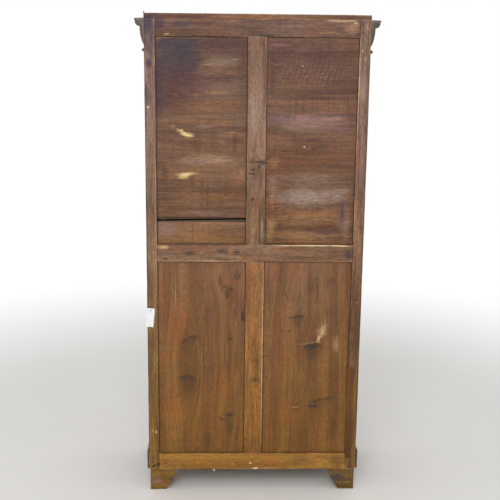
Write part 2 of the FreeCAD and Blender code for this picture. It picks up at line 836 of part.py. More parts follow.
def hinge_pin(side, level):
    reach = mm.hinge_length / 2 + mm.pin_ball_radius
    bar = cylinder("z", mm.hinge_pin_radius, hinge_x * side, hinge_y, (level - reach, level + reach))
    tips = [ball(mm.pin_ball_radius, hinge_x * side, hinge_y, level + reach * way) for way in (-1, 1)]
    return fuse(bar, *tips)


def hinges():
    half = mm.hinge_length / 2
    middle = mm.middle_knuckle_length / 2
    outer = middle + mm.knuckle_clearance
    post_knuckles = ((-half, -outer), (outer, half))
    door_knuckles = ((-middle, middle),)
    pairs = [(side, level) for side in SIDES.values() for level in HINGE_LEVELS]
    post_leaves = [hinge_leaf(side, inner_x, level, post_knuckles) for side, level in pairs]
    node("hinge_frame_leaves", group(*post_leaves))
    node("hinge_pins", group(*[hinge_pin(side, level) for side, level in pairs]))
    face = door_hinge_edge - mm.leaf_thickness
    for name, side in SIDES.items():
        leaves = [hinge_leaf(side, face, level, door_knuckles) for level in HINGE_LEVELS]
        node(f"door_{name}_hinge_leaves", group(*leaves))


# Lock, key and keeper


def lock():
    case_low = door_meeting_edge + mm.lock_inset
    case_x = (case_low, case_low + mm.lock_case_width)
    case_y = (door_back_y, door_back_y + mm.lock_case_depth)
    half = mm.lock_case_height / 2
    case_z = (lock_level - half, lock_level + half)
    hollow_y = (case_y[0] - mm.overrun, case_y[1] - mm.lock_wall)
    hollow = box(shrunk(case_x, mm.lock_wall), hollow_y, shrunk(case_z, mm.lock_wall))
    bolt_x = (case_low, case_low + mm.lock_bolt_length)
    middle_y = (case_y[0] + case_y[1]) / 2
    bolt_y = (middle_y - mm.lock_bolt_thickness / 2, middle_y + mm.lock_bolt_thickness / 2)
    bolt_base = lock_level + mm.lock_bolt_rise
    bolt_z = (bolt_base, bolt_base + mm.lock_bolt_height)
    mouth_x = (case_low - mm.overrun, case_low + mm.lock_wall + mm.overrun)
    mouth = box(mouth_x, grown(bolt_y, mm.lock_clearance), grown(bolt_z, mm.lock_clearance))
    node("lock_case", cut(box(case_x, case_y, case_z), hollow, mouth))

    talon_low = key_x() - mm.talon_width / 2 + mm.lock_bolt_throw / 2
    talon_x = (talon_low, talon_low + mm.talon_width)
    talon = box(talon_x, grown(bolt_y, mm.overrun), (bolt_base - mm.overrun, bolt_base + mm.talon_height))
    node("lock_bolt", cut(box(bolt_x, bolt_y, bolt_z), talon))

    pocket_depth = mm.lock_bolt_throw - mm.lock_inset - mm.meeting_gap
    keeper_x = (-(case_low + pocket_depth + mm.keeper_wall), -case_low)
    pocket_x = (keeper_x[0] + mm.keeper_wall, keeper_x[1] + mm.overrun)
    pocket_y = grown(bolt_y, mm.keeper_room)
    pocket_z = grown(bolt_z, mm.keeper_room)
    keeper = box(keeper_x, case_y, grown(pocket_z, mm.keeper_wall))
    node("lock_keeper", cut(keeper, box(pocket_x, pocket_y, pocket_z)))


def key():
    x = key_x()
    bow_y = front_y - mm.key_bow_reach
    half = mm.key_bow_thickness / 2
    bow_x = (x - half, x + half)
    bow = cylinder("x", mm.key_bow_radius, bow_x, bow_y, lock_level)
    eye = cylinder("x", mm.key_bow_hole_radius, grown(bow_x, mm.overrun), bow_y, lock_level)
    shank_start = bow_y + (mm.key_bow_radius + mm.key_bow_hole_radius) / 2
    shank = cylinder("y", mm.key_shank_radius, x, (shank_start, door_back_y + mm.key_tip_reach), lock_level)
    collar_end = front_y - mm.keyhole_plate_thickness - mm.lock_clearance
    collar_y = (collar_end - mm.key_collar_length, collar_end)
    collar = cylinder("y", mm.key_collar_radius, x, collar_y, lock_level)
    bit_x = (x - mm.key_bit_thickness / 2, x + mm.key_bit_thickness / 2)
    bit_start = door_back_y + mm.key_bit_setback
    bit_y = (bit_start, bit_start + mm.key_bit_length)
    bit = box(bit_x, bit_y, (lock_level - mm.key_bit_height, lock_level))
    node("key", fuse(cut(bow, eye), shank, collar, bit))


def keyhole_plate():
    half = mm.keyhole_plate_width / 2
    straight = mm.keyhole_plate_height / 2 - half
    x = key_x()
    outline = [
        (x + half, lock_level - straight),
        (x + half, lock_level + straight),
        (x - half, lock_level + straight),
        (x - half, lock_level - straight),
    ]
    round_ends = {1: mm.half_round_share, 3: mm.half_round_share}
    plate = prism("XZ_Plane", outline, front_y, mm.keyhole_plate_thickness, round_ends)
    depth = (-mm.keyhole_plate_thickness - mm.overrun, mm.overrun)
    node("keyhole_plate", cut(plate, keyhole(depth)))


# Rod bolts on the left door


def rod_bolt(label, tip, way):
    """A rod whose tip stands clear of its socket at rest. `way` is +1 for the upper one, -1 for the lower."""
    far = tip - mm.rod_length * way
    bar = cylinder("z", mm.rod_radius, rod_x, rod_y, (far, tip) if way > 0 else (tip, far))
    knob_level = tip - (mm.guide_inset + mm.guide_spacing / 2) * way
    neck_end = rod_y + mm.rod_radius + mm.rod_knob_neck
    neck = cylinder("y", mm.rod_radius / 2, rod_x, (rod_y, neck_end), knob_level)
    knob = ball(mm.rod_knob_radius, rod_x, neck_end, knob_level)
    node(label, fuse(bar, neck, knob))


def rod_guides(tip, way):
    guides = []
    half = mm.guide_width / 2
    for along in (mm.guide_inset, mm.guide_inset + mm.guide_spacing):
        level = tip - along * way
        height = (level - mm.guide_height / 2, level + mm.guide_height / 2)
        block_y = (door_back_y, rod_y + mm.rod_radius + mm.guide_wall)
        block = box((rod_x - half, rod_x + half), block_y, height)
        hole = cylinder("z", mm.rod_radius + mm.rod_clearance, rod_x, rod_y, grown(height, mm.overrun))
        guides.append(cut(block, hole))
    return guides


def rod_bolts():
    upper_tip = stop_base - mm.rod_rest_gap
    lower_tip = floor_level + mm.rod_rest_gap
    rod_bolt("top_bolt", upper_tip, 1)
    rod_bolt("bottom_bolt", lower_tip, -1)
    node("bolt_guides", group(*rod_guides(upper_tip, 1), *rod_guides(lower_tip, -1)))


def build():
    for name, side in SIDES.items():
        rear_post(name, side)
        front_post(name, side)
        flank_frame(name)
        for end in ("front", "rear"):
            foot(end, name, side)
        door(name, side)
    back_frame()
    back_panels()
    front_rails()
    frame_pegs()
    boards()
    inner_battens()
    cornice()
    neck_beads()
    base_mouldings()
    hinges()
    lock()
    key()
    keyhole_plate()
    rod_bolts()
    doc.recompute()


def check_and_write():
    for thing in doc.Objects:
        if "Invalid" in thing.State or "Error" in thing.State:
            raise RuntimeError(f"{thing.Label} ({thing.Name}) failed: {thing.State}")
        if thing.TypeId == "Sketcher::SketchObject" and not thing.FullyConstrained:
            raise RuntimeError(f"{thing.Label} ({thing.Name}) is not fully constrained")
    for piece in nodes:
        if piece.Shape.isNull() or not piece.Shape.isValid():
            raise RuntimeError(f"{piece.Label} has no valid shape")
    os.makedirs("parts", exist_ok=True)
    for piece in nodes:
        piece.Shape.exportStep(f"parts/{piece.Label}.step")
        print(f"{piece.Label}: {len(piece.Shape.Solids)} solids, {piece.Shape.Volume / 1000:.1f} cm3")
    print(f"{len(nodes)} nodes")


build()
check_and_write()
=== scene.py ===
# %% [markdown]
# # An old panelled cupboard, seen from behind
# The object is a tall two-door press. Its back is a pegged frame of posts, rails and muntins round four
# loose panels, and that back is what the camera sees. The solids already have the right shapes and joints.
# This lesson gives them eased and worn arrises, old brown wood with its knots, scrapes and stains, aged
# metal, and the small things that solids leave out: screws, nails, cracks, a repair and a paper tag.

# %% Load the solids as a fixed frame
import json
import math
import random

import bmesh
import bpy
from mathutils import Matrix, Vector, noise


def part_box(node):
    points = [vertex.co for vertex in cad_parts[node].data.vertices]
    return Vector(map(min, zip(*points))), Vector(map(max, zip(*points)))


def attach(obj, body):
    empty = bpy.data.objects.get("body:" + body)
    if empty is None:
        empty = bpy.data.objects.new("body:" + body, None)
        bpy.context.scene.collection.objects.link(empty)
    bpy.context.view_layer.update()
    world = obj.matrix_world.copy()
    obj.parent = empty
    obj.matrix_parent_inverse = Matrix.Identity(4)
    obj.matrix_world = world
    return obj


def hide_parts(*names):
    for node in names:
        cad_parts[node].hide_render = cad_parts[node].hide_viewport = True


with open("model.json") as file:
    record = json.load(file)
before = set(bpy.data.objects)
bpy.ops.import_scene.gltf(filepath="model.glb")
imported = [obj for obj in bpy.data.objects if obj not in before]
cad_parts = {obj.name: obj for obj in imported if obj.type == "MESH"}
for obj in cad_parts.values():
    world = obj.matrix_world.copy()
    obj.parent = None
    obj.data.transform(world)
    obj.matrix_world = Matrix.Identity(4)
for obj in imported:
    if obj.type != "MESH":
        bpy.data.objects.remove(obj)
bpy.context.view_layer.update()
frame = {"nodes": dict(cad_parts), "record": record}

mm = 0.001
record = frame["record"]
slot_of = {row["node"]: row["material_slot"] for row in record["subparts"]}
body_of = {node: body for body, nodes in record["behaviour"]["bodies"].items() for node in nodes}
back_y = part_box("rear_post_left")[1].y
print(f"{len(slot_of)} pieces, back face at y = {back_y:.3f} m")

# %% [markdown]
# ## Camera
# A long lens stands about four metres behind the cupboard, near its top, and looks a little down. The
# angles come from the way the upright edges lean together in the picture. A camera is turned with three
# plain rotations here: heading round the upright, tilt from straight down, and a small roll about the line
# of sight.

# %% Camera
lens_length = 72
sensor_width = 36
camera_place = Vector((0.151, 4.411, 2.107))
camera_heading = math.radians(178.23)
camera_tilt = math.radians(76.624)
camera_roll = math.radians(0.645)


def add_object(name, data):
    """A new object, put in the scene."""
    thing = bpy.data.objects.new(name, data)
    bpy.context.scene.collection.objects.link(thing)
    return thing


camera_data = bpy.data.cameras.new("camera")
camera_data.lens = lens_length
camera_data.sensor_width = sensor_width
camera = add_object("camera", camera_data)
turns = ((camera_heading, "Z"), (camera_tilt, "X"), (camera_roll, "Z"))
heading, tilted, rolled = [Matrix.Rotation(angle, 4, axis) for angle, axis in turns]
camera.matrix_world = Matrix.Translation(camera_place) @ heading @ tilted @ rolled
bpy.context.scene.camera = camera
bpy.context.scene.view_settings.view_transform = "Standard"
print(f"camera {camera_place.y - back_y:.2f} m behind the back")

# %% [markdown]
# ## Short ways to wire nodes
# Materials are built from nodes in the script. A small helper keeps that readable: each method adds one
# node, links or sets its inputs, and returns the socket that comes out. Effects that several materials
# share become node groups with named inputs, so that each one is written once and given its own values
# wherever it is used. Colours are given as on screen, and a shader reckons with light, so a colour is first
# turned into the amount of light it stands for.

# %% Colour and node helpers
def tint(red, green, blue):
    """A colour given as on screen (0 to 255), as the linear colour that a shader takes."""
    def linear(level):
        share = level / 255
        return share / 12.92 if share <= 0.04045 else ((share + 0.055) / 1.055) ** 2.4
    return (linear(red), linear(green), linear(blue), 1)


class Wiring:
    """Adds nodes to one tree. An input may be a number, a vector, a colour or another node's socket."""

    def __init__(self, tree):
        self.tree = tree

    def fill(self, sockets, values):
        """Links or sets several inputs by their names or numbers."""
        for key, value in values.items():
            if isinstance(value, bpy.types.NodeSocket):
                self.tree.links.new(value, sockets[key])
            else:
                sockets[key].default_value = value

    def node(self, kind, inputs=None, **settings):
        made = self.tree.nodes.new(kind)
        for name, value in settings.items():
            setattr(made, name, value)
        self.fill(made.inputs, inputs or {})
        return made

    def group(self, tree, **inputs):
        """Places a node group. An input's name is written in lower case with underscores."""
        named = {key.replace("_", " ").capitalize(): value for key, value in inputs.items()}
        return self.node("ShaderNodeGroup", named, node_tree=tree).outputs

    def math(self, operation, *values):
        return self.node("ShaderNodeMath", dict(enumerate(values)), operation=operation).outputs[0]

    def plus(self, first, second):
        return self.math("ADD", first, second)

    def minus(self, first, second):
        return self.math("SUBTRACT", first, second)

    def times(self, first, second):
        return self.math("MULTIPLY", first, second)

    def times_add(self, value, factor, offset):
        return self.math("MULTIPLY_ADD", value, factor, offset)

    def over(self, first, second):
        return self.math("DIVIDE", first, second)

    def vector(self, operation, *values):
        made = self.node("ShaderNodeVectorMath", dict(enumerate(values)), operation=operation)
        return made.outputs["Value" if operation == "LENGTH" else "Vector"]

    def stretch(self, vector, factors):
        return self.vector("MULTIPLY", vector, factors)

    def noise(self, place, scale, detail=2, roughness=0.5, output="Fac"):
        inputs = {"Vector": place, "Scale": scale, "Detail": detail, "Roughness": roughness}
        return self.node("ShaderNodeTexNoise", inputs).outputs[output]

    def ease(self, value, start, end):
        """0 up to the start, 1 past the end, and a smooth step between them."""
        inputs = {"Value": value, "From Min": start, "From Max": end}
        return self.node("ShaderNodeMapRange", inputs, interpolation_type="SMOOTHSTEP").outputs["Result"]

    def mix(self, share, first, second, blend="MIX"):
        """Mixes two colours. The node's colour sockets are its inputs 6 and 7 and its output 2."""
        inputs = {0: share, 6: first, 7: second}
        return self.node("ShaderNodeMix", inputs, data_type="RGBA", blend_type=blend).outputs[2]

    def brighten(self, colour, value):
        return self.node("ShaderNodeHueSaturation", {"Value": value, "Color": colour}).outputs[0]

    def bump(self, height, strength, distance):
        inputs = {"Strength": strength, "Distance": distance, "Height": height}
        return self.node("ShaderNodeBump", inputs).outputs[0]

    def coordinates(self):
        return self.node("ShaderNodeTexCoord").outputs["Object"]

    def attribute(self, name, output="Vector"):
        return self.node("ShaderNodeAttribute", attribute_name=name).outputs[output]

    def split(self, vector):
        return self.node("ShaderNodeSeparateXYZ", {0: vector}).outputs

    def join(self, x, y, z):
        return self.node("ShaderNodeCombineXYZ", {0: x, 1: y, 2: z}).outputs[0]


middle_grey = (128, 128, 128)
print(f"a middle grey on screen sends back {tint(*middle_grey)[0]:.3f} of the light")

# %% [markdown]
# ## Empty groups and materials
# A node group is a small tree with named inputs and outputs, and most of the groups here give one mask that
# says where an effect shows. Groups can be drawn by hand in the editor, but a script is easier to read and
# to compare. Two helpers make an empty group and an empty material, and hand back what is needed to fill
# them.

# %% Group and material helpers
MASK = {"Mask": "Float"}


def new_group(name, inputs, outputs=MASK):
    """An empty node group, a helper to fill it, its outgoing sockets, and a list of those that come in."""
    tree = bpy.data.node_groups.new(name, "ShaderNodeTree")
    for label, start in inputs.items():
        kind = "NodeSocketVector" if isinstance(start, tuple) else "NodeSocketFloat"
        tree.interface.new_socket(label, in_out="INPUT", socket_type=kind).default_value = start
    for label, kind in outputs.items():
        tree.interface.new_socket(label, in_out="OUTPUT", socket_type=f"NodeSocket{kind}")
    wiring = Wiring(tree)
    given = wiring.node("NodeGroupInput").outputs
    result = wiring.node("NodeGroupOutput").inputs
    print(f"node group {name}: {', '.join(inputs)} -> {', '.join(outputs)}")
    return tree, wiring, result, [given[label] for label in inputs]


def new_finish(name):
    """A new material, a helper to wire it, and its shader."""
    material = bpy.data.materials.new(name)
    material.use_nodes = True
    return material, Wiring(material.node_tree), material.node_tree.nodes["Principled BSDF"]


print(f"a group puts out {', '.join(MASK)} unless it says otherwise")

# %% [markdown]
# ## Light and floor
# The cupboard stands in plain soft light: a wide lamp behind the camera, and a white world that fills the
# shadows. The world is dimmer as a lamp than it looks, through the Light Path node, so that the ground
# stays white without flooding the wood with light. The floor is a plain pale sheet that takes the
# cupboard's shadow. Some way off it fades into the same white, so that no hard line crosses the picture
# behind the cupboard.

# %% Lamp, world and floor
lamp_place = Vector((0.7, 5.2, 4.0))
lamp_aim = Vector((0, back_y, 1.1))
lamp_size, lamp_power = 2.6, 125
fill_strength = 0.72
floor_reach = 30
floor_tone, paler_floor_tone = (232, 230, 226), (238, 236, 232)
floor_cloud_scale, floor_roughness = 1.5, 0.8
fade_start, fade_end = 1.5, 3.6
WHITE = (1, 1, 1, 1)

lamp_data = bpy.data.lights.new("soft_lamp", "AREA")
lamp_data.size = lamp_size
lamp_data.energy = lamp_power
lamp = add_object("soft_lamp", lamp_data)
lamp_turn = (lamp_aim - lamp_place).to_track_quat("-Z", "Y").to_matrix().to_4x4()
lamp.matrix_world = Matrix.Translation(lamp_place) @ lamp_turn


def seen_share(w):
    """1 for a ray that shows something, also in a mirror or through glass, 0 for one that lights it."""
    rays = w.node("ShaderNodeLightPath").outputs
    direct = w.math("MAXIMUM", rays["Is Camera Ray"], rays["Is Glossy Ray"])
    return w.math("MAXIMUM", direct, rays["Is Transmission Ray"])


world = bpy.data.worlds.new("white_room")
bpy.context.scene.world = world
world.use_nodes = True
world.node_tree.nodes.clear()
w = Wiring(world.node_tree)
dim = w.node("ShaderNodeBackground", {"Color": WHITE, "Strength": fill_strength}).outputs[0]
bright = w.node("ShaderNodeBackground", {"Color": WHITE, "Strength": 1}).outputs[0]
ground = w.node("ShaderNodeMixShader", {0: seen_share(w), 1: dim, 2: bright}).outputs[0]
w.node("ShaderNodeOutputWorld", {"Surface": ground})

floor_half = floor_reach / 2
floor_corners = [(x * floor_half, y * floor_half, 0) for x, y in ((-1, -1), (1, -1), (1, 1), (-1, 1))]
floor_mesh = bpy.data.meshes.new("floor")
floor_mesh.from_pydata(floor_corners, [], [(0, 1, 2, 3)])
floor = add_object("floor", floor_mesh)
floor_finish, w, shader = new_finish("pale_floor")
place = w.coordinates()
pale = w.mix(w.noise(place, floor_cloud_scale, detail=3), tint(*floor_tone), tint(*paler_floor_tone))
w.fill(shader.inputs, {"Base Color": pale, "Roughness": floor_roughness})
far = w.times(w.ease(w.vector("LENGTH", place), fade_start, fade_end), seen_share(w))
white = w.node("ShaderNodeEmission", {"Color": WHITE, "Strength": 1}).outputs[0]
shown = w.node("ShaderNodeMixShader", {0: far, 1: shader.outputs[0], 2: white}).outputs[0]
w.fill(floor_finish.node_tree.nodes["Material Output"].inputs, {"Surface": shown})
floor_mesh.materials.append(floor_finish)
print(f"lamp of {lamp_power} W, floor {floor_reach} m wide")

# %% [markdown]
# ## Wood: the grain
# Old boards are sawn from a round tree, so their figure is the tree's rings cut lengthwise. It could be
# drawn with a striped texture, but stripes look printed. Here noises are read in each board's own frame,
# with Z along the grain: broad bands, narrow streaks, rings round a far-off pith that sway a little, and
# fine fibre. A slow cloud says where the wood is cooler or warmer. Each board is read at its own shift, so
# that no two boards carry the same figure.

# %% Grain group
grain_inputs = {
    "Place": (0, 0, 0), "Shift": (0, 0, 0), "Band width": 0.03, "Ring width": 0.01, "Waviness": 1.0,
}
grain_outputs = {"Figure": "Float", "Fibre": "Float", "Cloud": "Float"}
grain, w, result, sockets = new_group("wood_grain", grain_inputs, grain_outputs)
place, shift, band_width, ring_width, waviness = sockets
SWAY_PULL, BAND_PULL, STREAK_PULL = (1, 1, 0.35), (1, 1, 0.07), (1, 1, 0.03)
FIBRE_PULL, CLOUD_PULL = (1, 1, 0.05), (1, 1, 0.4)
sway_scale, ring_scale, fibre_scale, cloud_scale = 3, 0.6, 190, 8
NOISE_MIDDLE, SWAY_REACH = (0.5, 0.5, 0.5), (0.05, 0.05, 0)
streak_share = 0.22
pith_depth, pith_lean = 0.05, 0.06
BAND_PART, RING_PART, STREAK_PART = 0.40, 0.32, 0.28

moved = w.vector("ADD", place, shift)
swing = w.noise(w.stretch(moved, SWAY_PULL), sway_scale, output="Color")
sway = w.stretch(w.vector("SUBTRACT", swing, NOISE_MIDDLE), w.join(waviness, waviness, 0))
swayed = w.vector("MULTIPLY_ADD", sway, SWAY_REACH, moved)
near = w.split(w.vector("MULTIPLY_ADD", sway, SWAY_REACH, place))
band_scale = w.over(1, band_width)
bands = w.noise(w.stretch(swayed, BAND_PULL), band_scale, detail=3)
streaks = w.noise(w.stretch(swayed, STREAK_PULL), w.over(band_scale, streak_share), detail=4, roughness=0.6)
pith = w.plus(near[1], w.times_add(near[2], pith_lean, pith_depth))
radius = w.vector("LENGTH", w.join(near[0], pith, 0))
ring_place = w.join(w.over(radius, ring_width), near[2], w.split(shift)[0])
rings = w.noise(ring_place, ring_scale, detail=3, roughness=0.6)
figure = w.times_add(bands, BAND_PART, w.times(rings, RING_PART))
w.fill(result, {
    "Figure": w.times_add(streaks, STREAK_PART, figure),
    "Fibre": w.noise(w.stretch(moved, FIBRE_PULL), fibre_scale, detail=3, roughness=0.65),
    "Cloud": w.noise(w.stretch(moved, CLOUD_PULL), cloud_scale, detail=4, roughness=0.6),
})

# %% [markdown]
# ## Wood: knots
# A knot is where a branch left the trunk, and the grain bends round it. A dark spot alone would leave
# straight grain running through it. So the group gives a push, which is added to the board's place before
# the grain is read, and a mask for the knot's dark heart.

# %% Knot group
knot_inputs = {"Coordinates": (0, 0, 0), "Centre": (0, 0, 0), "Radius": 0.02}
knot, w, result, sockets = new_group("knot", knot_inputs, {"Push": "Vector", "Heart": "Float"})
coordinates, centre, radius = sockets
knot_length_share, knot_bend_share, knot_falloff = 0.4, 0.9, 0.35
knot_rim_scale, knot_rim_depth = 60, 0.5
HEART_STEP = (0.95, 0.35)
away = w.split(w.vector("SUBTRACT", coordinates, centre))
flat = w.join(away[0], 0, w.times(away[2], knot_length_share))
distance = w.over(w.vector("LENGTH", flat), radius)
pull = w.math("EXPONENT", w.times(w.times(distance, distance), -knot_falloff))
bend = w.times(w.times(away[0], pull), -knot_bend_share)
rim = w.times_add(w.noise(coordinates, knot_rim_scale, detail=3), knot_rim_depth, -knot_rim_depth / 2)
w.fill(result, {"Push": w.join(bend, 0, 0), "Heart": w.ease(w.plus(distance, rim), *HEART_STEP)})

# %% [markdown]
# ## Wood: scrapes, stains and dusty patches
# These are soft ellipses with a ragged rim. They could be painted into a picture, but a picture has one
# sharpness only. A Mapping node moves, turns and shrinks the back's coordinates into the mark's own frame,
# where the mark is a ball of radius one, and a spherical gradient gives the distance from its middle. Two
# nodes do the work of many, so a finish with dozens of marks stays small enough to render. Noise along the
# grain then tears the rim.

# %% Mark group
mark_inputs = {
    "Coordinates": (0, 0, 0), "Centre": (0, 0, 0), "Reach": (1, 1, 1), "Stretch": (1, 1, 1),
    "Tilt": 0.0, "Ragged": 0.6, "Soft": 0.5,
}
mark, w, result, sockets = new_group("mark", mark_inputs)
coordinates, centre, reach, stretch, tilt, ragged, soft = sockets
ball_reach, mark_drift = 3, 70
torn_scale, torn_depth = 1.4, 2
streaked_scale, streaked_depth = 150, 2.6
rim_offset, mark_edge = -2.3, 1.05
BROKEN_STEP, broken_part = (0.62, 0.4), 0.4
own_frame = {"Vector": coordinates, "Location": centre, "Rotation": w.join(0, tilt, 0), "Scale": reach}
away = w.node("ShaderNodeMapping", own_frame, vector_type="TEXTURE").outputs[0]
apart = {"Vector": away, "Location": w.stretch(centre, (mark_drift,) * 3)}
torn = w.noise(w.node("ShaderNodeMapping", apart).outputs[0], torn_scale, detail=3)
shrunk = w.node("ShaderNodeMapping", {"Vector": away, "Scale": (1 / ball_reach,) * 3}).outputs[0]
ball = w.node("ShaderNodeTexGradient", {"Vector": shrunk}, gradient_type="SPHERICAL").outputs["Fac"]
length = w.times_add(ball, -ball_reach, ball_reach)
streaked = w.noise(w.stretch(coordinates, stretch), streaked_scale, detail=4, roughness=0.7)
rim = w.times_add(torn, torn_depth, w.times_add(streaked, streaked_depth, rim_offset))
body = w.ease(w.times_add(rim, ragged, length), mark_edge, w.minus(1, soft))
broken = w.times_add(w.ease(streaked, *BROKEN_STEP), broken_part, 1 - broken_part)
w.fill(result, {"Mask": w.times(body, broken)})

# %% [markdown]
# ## Wood: torn hollows and their painted shade
# Where a knot loosened, the plane tore the wood out below it. That leaves a curved lip over a shallow scoop,
# and the scoop's shade is painted into the colour: it starts sharply under the lip and fades downward. An
# ellipse fades alike all round, so this needs a group of its own.

# %% Torn hollow group
hollow_inputs = {"Coordinates": (0, 0, 0), "Centre": (0, 0, 0), "Reach": (1, 1, 1), "Slope": 0.0}
hollow, w, result, sockets = new_group("torn_hollow_shade", hollow_inputs)
coordinates, centre, reach, slope = sockets
lip_bow = 0.12
wobble_scale, wobble_depth, end_wobble = 30, 0.4, 0.8
LIP_STEP, FADE_STEP, END_STEP, SHADOW_STEP = (-0.05, 0.05), (1, -0.1), (1, 0.3), (0.22, 0)
shadow_part = 0.6
away = w.split(w.vector("DIVIDE", w.vector("SUBTRACT", coordinates, centre), reach))
wobble = w.times_add(w.noise(coordinates, wobble_scale, detail=3), wobble_depth, -wobble_depth / 2)
bow = w.times(w.times(away[0], away[0]), lip_bow)
below = w.minus(w.minus(w.times_add(away[0], slope, wobble), bow), away[2])
fading = w.times(w.ease(below, *FADE_STEP), 1 - shadow_part)
lip_shade = w.times_add(w.ease(below, *SHADOW_STEP), shadow_part, fading)
ends = w.ease(w.times_add(wobble, end_wobble, w.math("ABSOLUTE", away[0])), *END_STEP)
w.fill(result, {"Mask": w.times(w.times(w.ease(below, *LIP_STEP), lip_shade), ends)})

# %% [markdown]
# ## Wood: saw marks
# Saws and planes leave faint lines across the grain. They come and go over a board, so the lines are a
# noise drawn out across the board and held to patches by a second, slower noise.

# %% Saw mark group
saw_inputs = {"Place": (0, 0, 0), "Shift": (0, 0, 0), "Spacing": 0.012}
saw, w, result, (place, shift, spacing) = new_group("saw_marks", saw_inputs)
SAW_PULL, saw_patch_scale = (0.07, 0.07, 1), 7
SAW_PATCH_STEP, SAW_LINE_STEP = (0.4, 0.62), (0.48, 0.68)
moved = w.vector("ADD", place, shift)
lines = w.noise(w.stretch(moved, SAW_PULL), w.over(1, spacing))
patches = w.ease(w.noise(moved, saw_patch_scale), *SAW_PATCH_STEP)
w.fill(result, {"Mask": w.times(w.ease(lines, *SAW_LINE_STEP), patches)})

# %% [markdown]
# ## Wood: plane chatter
# A plane that skips leaves a row of slanted pale strokes, which is called chatter. They are evenly spaced,
# so a sine across the board draws them, and a soft ellipse with a ragged rim holds them to the place where
# the plane skipped.

# %% Chatter group
chatter_inputs = {
    "Coordinates": (0, 0, 0), "Centre": (0, 0, 0), "Reach": (1, 1, 1), "Spacing": 0.021, "Slant": 0.3,
}
chatter, w, result, sockets = new_group("plane_chatter", chatter_inputs)
coordinates, centre, reach, spacing, slant = sockets
uneven_scale, uneven_rim, uneven_shift = 16, 1.2, 0.03
ZONE_STEP, STROKE_STEP = (1.6, 0.7), (-0.2, 1)
away = w.vector("SUBTRACT", coordinates, centre)
inside = w.vector("LENGTH", w.vector("DIVIDE", away, reach))
uneven = w.noise(coordinates, uneven_scale, detail=3)
zone = w.ease(w.times_add(uneven, uneven_rim, inside), *ZONE_STEP)
parts = w.split(away)
along = w.plus(w.times_add(parts[2], slant, parts[0]), w.times(uneven, uneven_shift))
strokes = w.math("SINE", w.times(w.over(along, spacing), math.tau))
w.fill(result, {"Mask": w.times(w.ease(strokes, *STROKE_STEP), zone)})

# %% [markdown]
# ## Wood: worn arrises, and grime with painted shade
# Arrises rub pale where hands, ropes and floors have worn them. Where a panel meets its frame, its rim is
# darker: partly grime that gathers there, and partly painted shade in the recess and in the gap. Both
# follow a board's edges, so no picture has to be painted for them. They are measured from the board's own
# faces: an arris is close to two of them at once, and a panel's rim is close to one.

# %% Groups for wear, and for grime with painted shade
def face_gaps(w, place, half):
    """How far a point lies inside the board's faces, along each of the board's own axes."""
    return w.split(w.vector("SUBTRACT", half, w.vector("ABSOLUTE", place)))


wear_inputs = {"Place": (0, 0, 0), "Half": (1, 1, 1), "Shift": (0, 0, 0), "Width": 0.004}
wear, w, result, (place, half, shift, width) = new_group("worn_arris", wear_inputs)
RUB_PULL, RUB_STEP, rub_scale = (1, 1, 0.35), (0.42, 0.68), 22
least_rub, wear_core = 0.0002, 0.3
gap = face_gaps(w, place, half)
corner = [w.math("MAXIMUM", gap[one], gap[other]) for one, other in ((0, 1), (0, 2), (1, 2))]
nearest = w.math("MINIMUM", w.math("MINIMUM", corner[0], corner[1]), corner[2])
patchy = w.noise(w.stretch(w.vector("ADD", place, shift), RUB_PULL), rub_scale, detail=4, roughness=0.65)
limit = w.times_add(w.ease(patchy, *RUB_STEP), width, least_rub)
w.fill(result, {"Mask": w.ease(nearest, limit, w.times(limit, wear_core))})

# Grime with painted shade: a wide uneven film near a panel's rim, and a narrow dark line at the rim that
# paints the shade in the gap.
grime_and_shade_inputs = {"Place": (0, 0, 0), "Half": (1, 1, 1), "Shift": (0, 0, 0), "Reach": 0.012, "Crevice": 0.0045}
grime_and_shade, w, result, (place, half, shift, reach, crevice) = new_group("frame_grime_and_shade", grime_and_shade_inputs)
grime_and_shade_scale, grime_and_shade_spread, grime_and_shade_least = 14, 1.4, 0.3
film_share, crevice_core = 0.65, 0.4
gap = face_gaps(w, place, half)
nearest = w.math("MINIMUM", gap[0], gap[2])
uneven = w.noise(w.vector("ADD", place, shift), grime_and_shade_scale, detail=3)
film_reach = w.times(reach, w.times_add(uneven, grime_and_shade_spread, grime_and_shade_least))
film = w.times(w.ease(nearest, film_reach, 0), film_share)
line = w.ease(nearest, crevice, w.times(crevice, crevice_core))
w.fill(result, {"Mask": w.math("MAXIMUM", film, line)})

# %% [markdown]
# ## Wood: worm holes
# Beetles leave round holes less than two millimetres wide. Cutting each one would cost many faces for very
# little. A cell texture has one point in every cell, so a hole is dark and sunk round that point, in about
# every fifth cell.

# %% Worm hole group
worm_inputs = {"Coordinates": (0, 0, 0), "Spacing": 0.03, "Radius": 0.0008}
worm, w, result, (coordinates, spacing, radius) = new_group("worm_holes", worm_inputs)
empty_cells = 0.8
cells = w.node("ShaderNodeTexVoronoi", {"Vector": coordinates, "Scale": w.over(1, spacing)}).outputs
chosen = w.math("GREATER_THAN", w.split(cells["Color"])[0], empty_cells)
hole = w.math("LESS_THAN", w.times(cells["Distance"], spacing), radius)
w.fill(result, {"Mask": w.times(chosen, hole)})

# %% [markdown]
# ## Wood: speckle
# Seen close up, old wood is never even. Open pores, dust and small knocks speckle it, and its hue drifts
# between red and olive every few centimetres. Both are noise in the board's own frame, one fine and one
# broad.

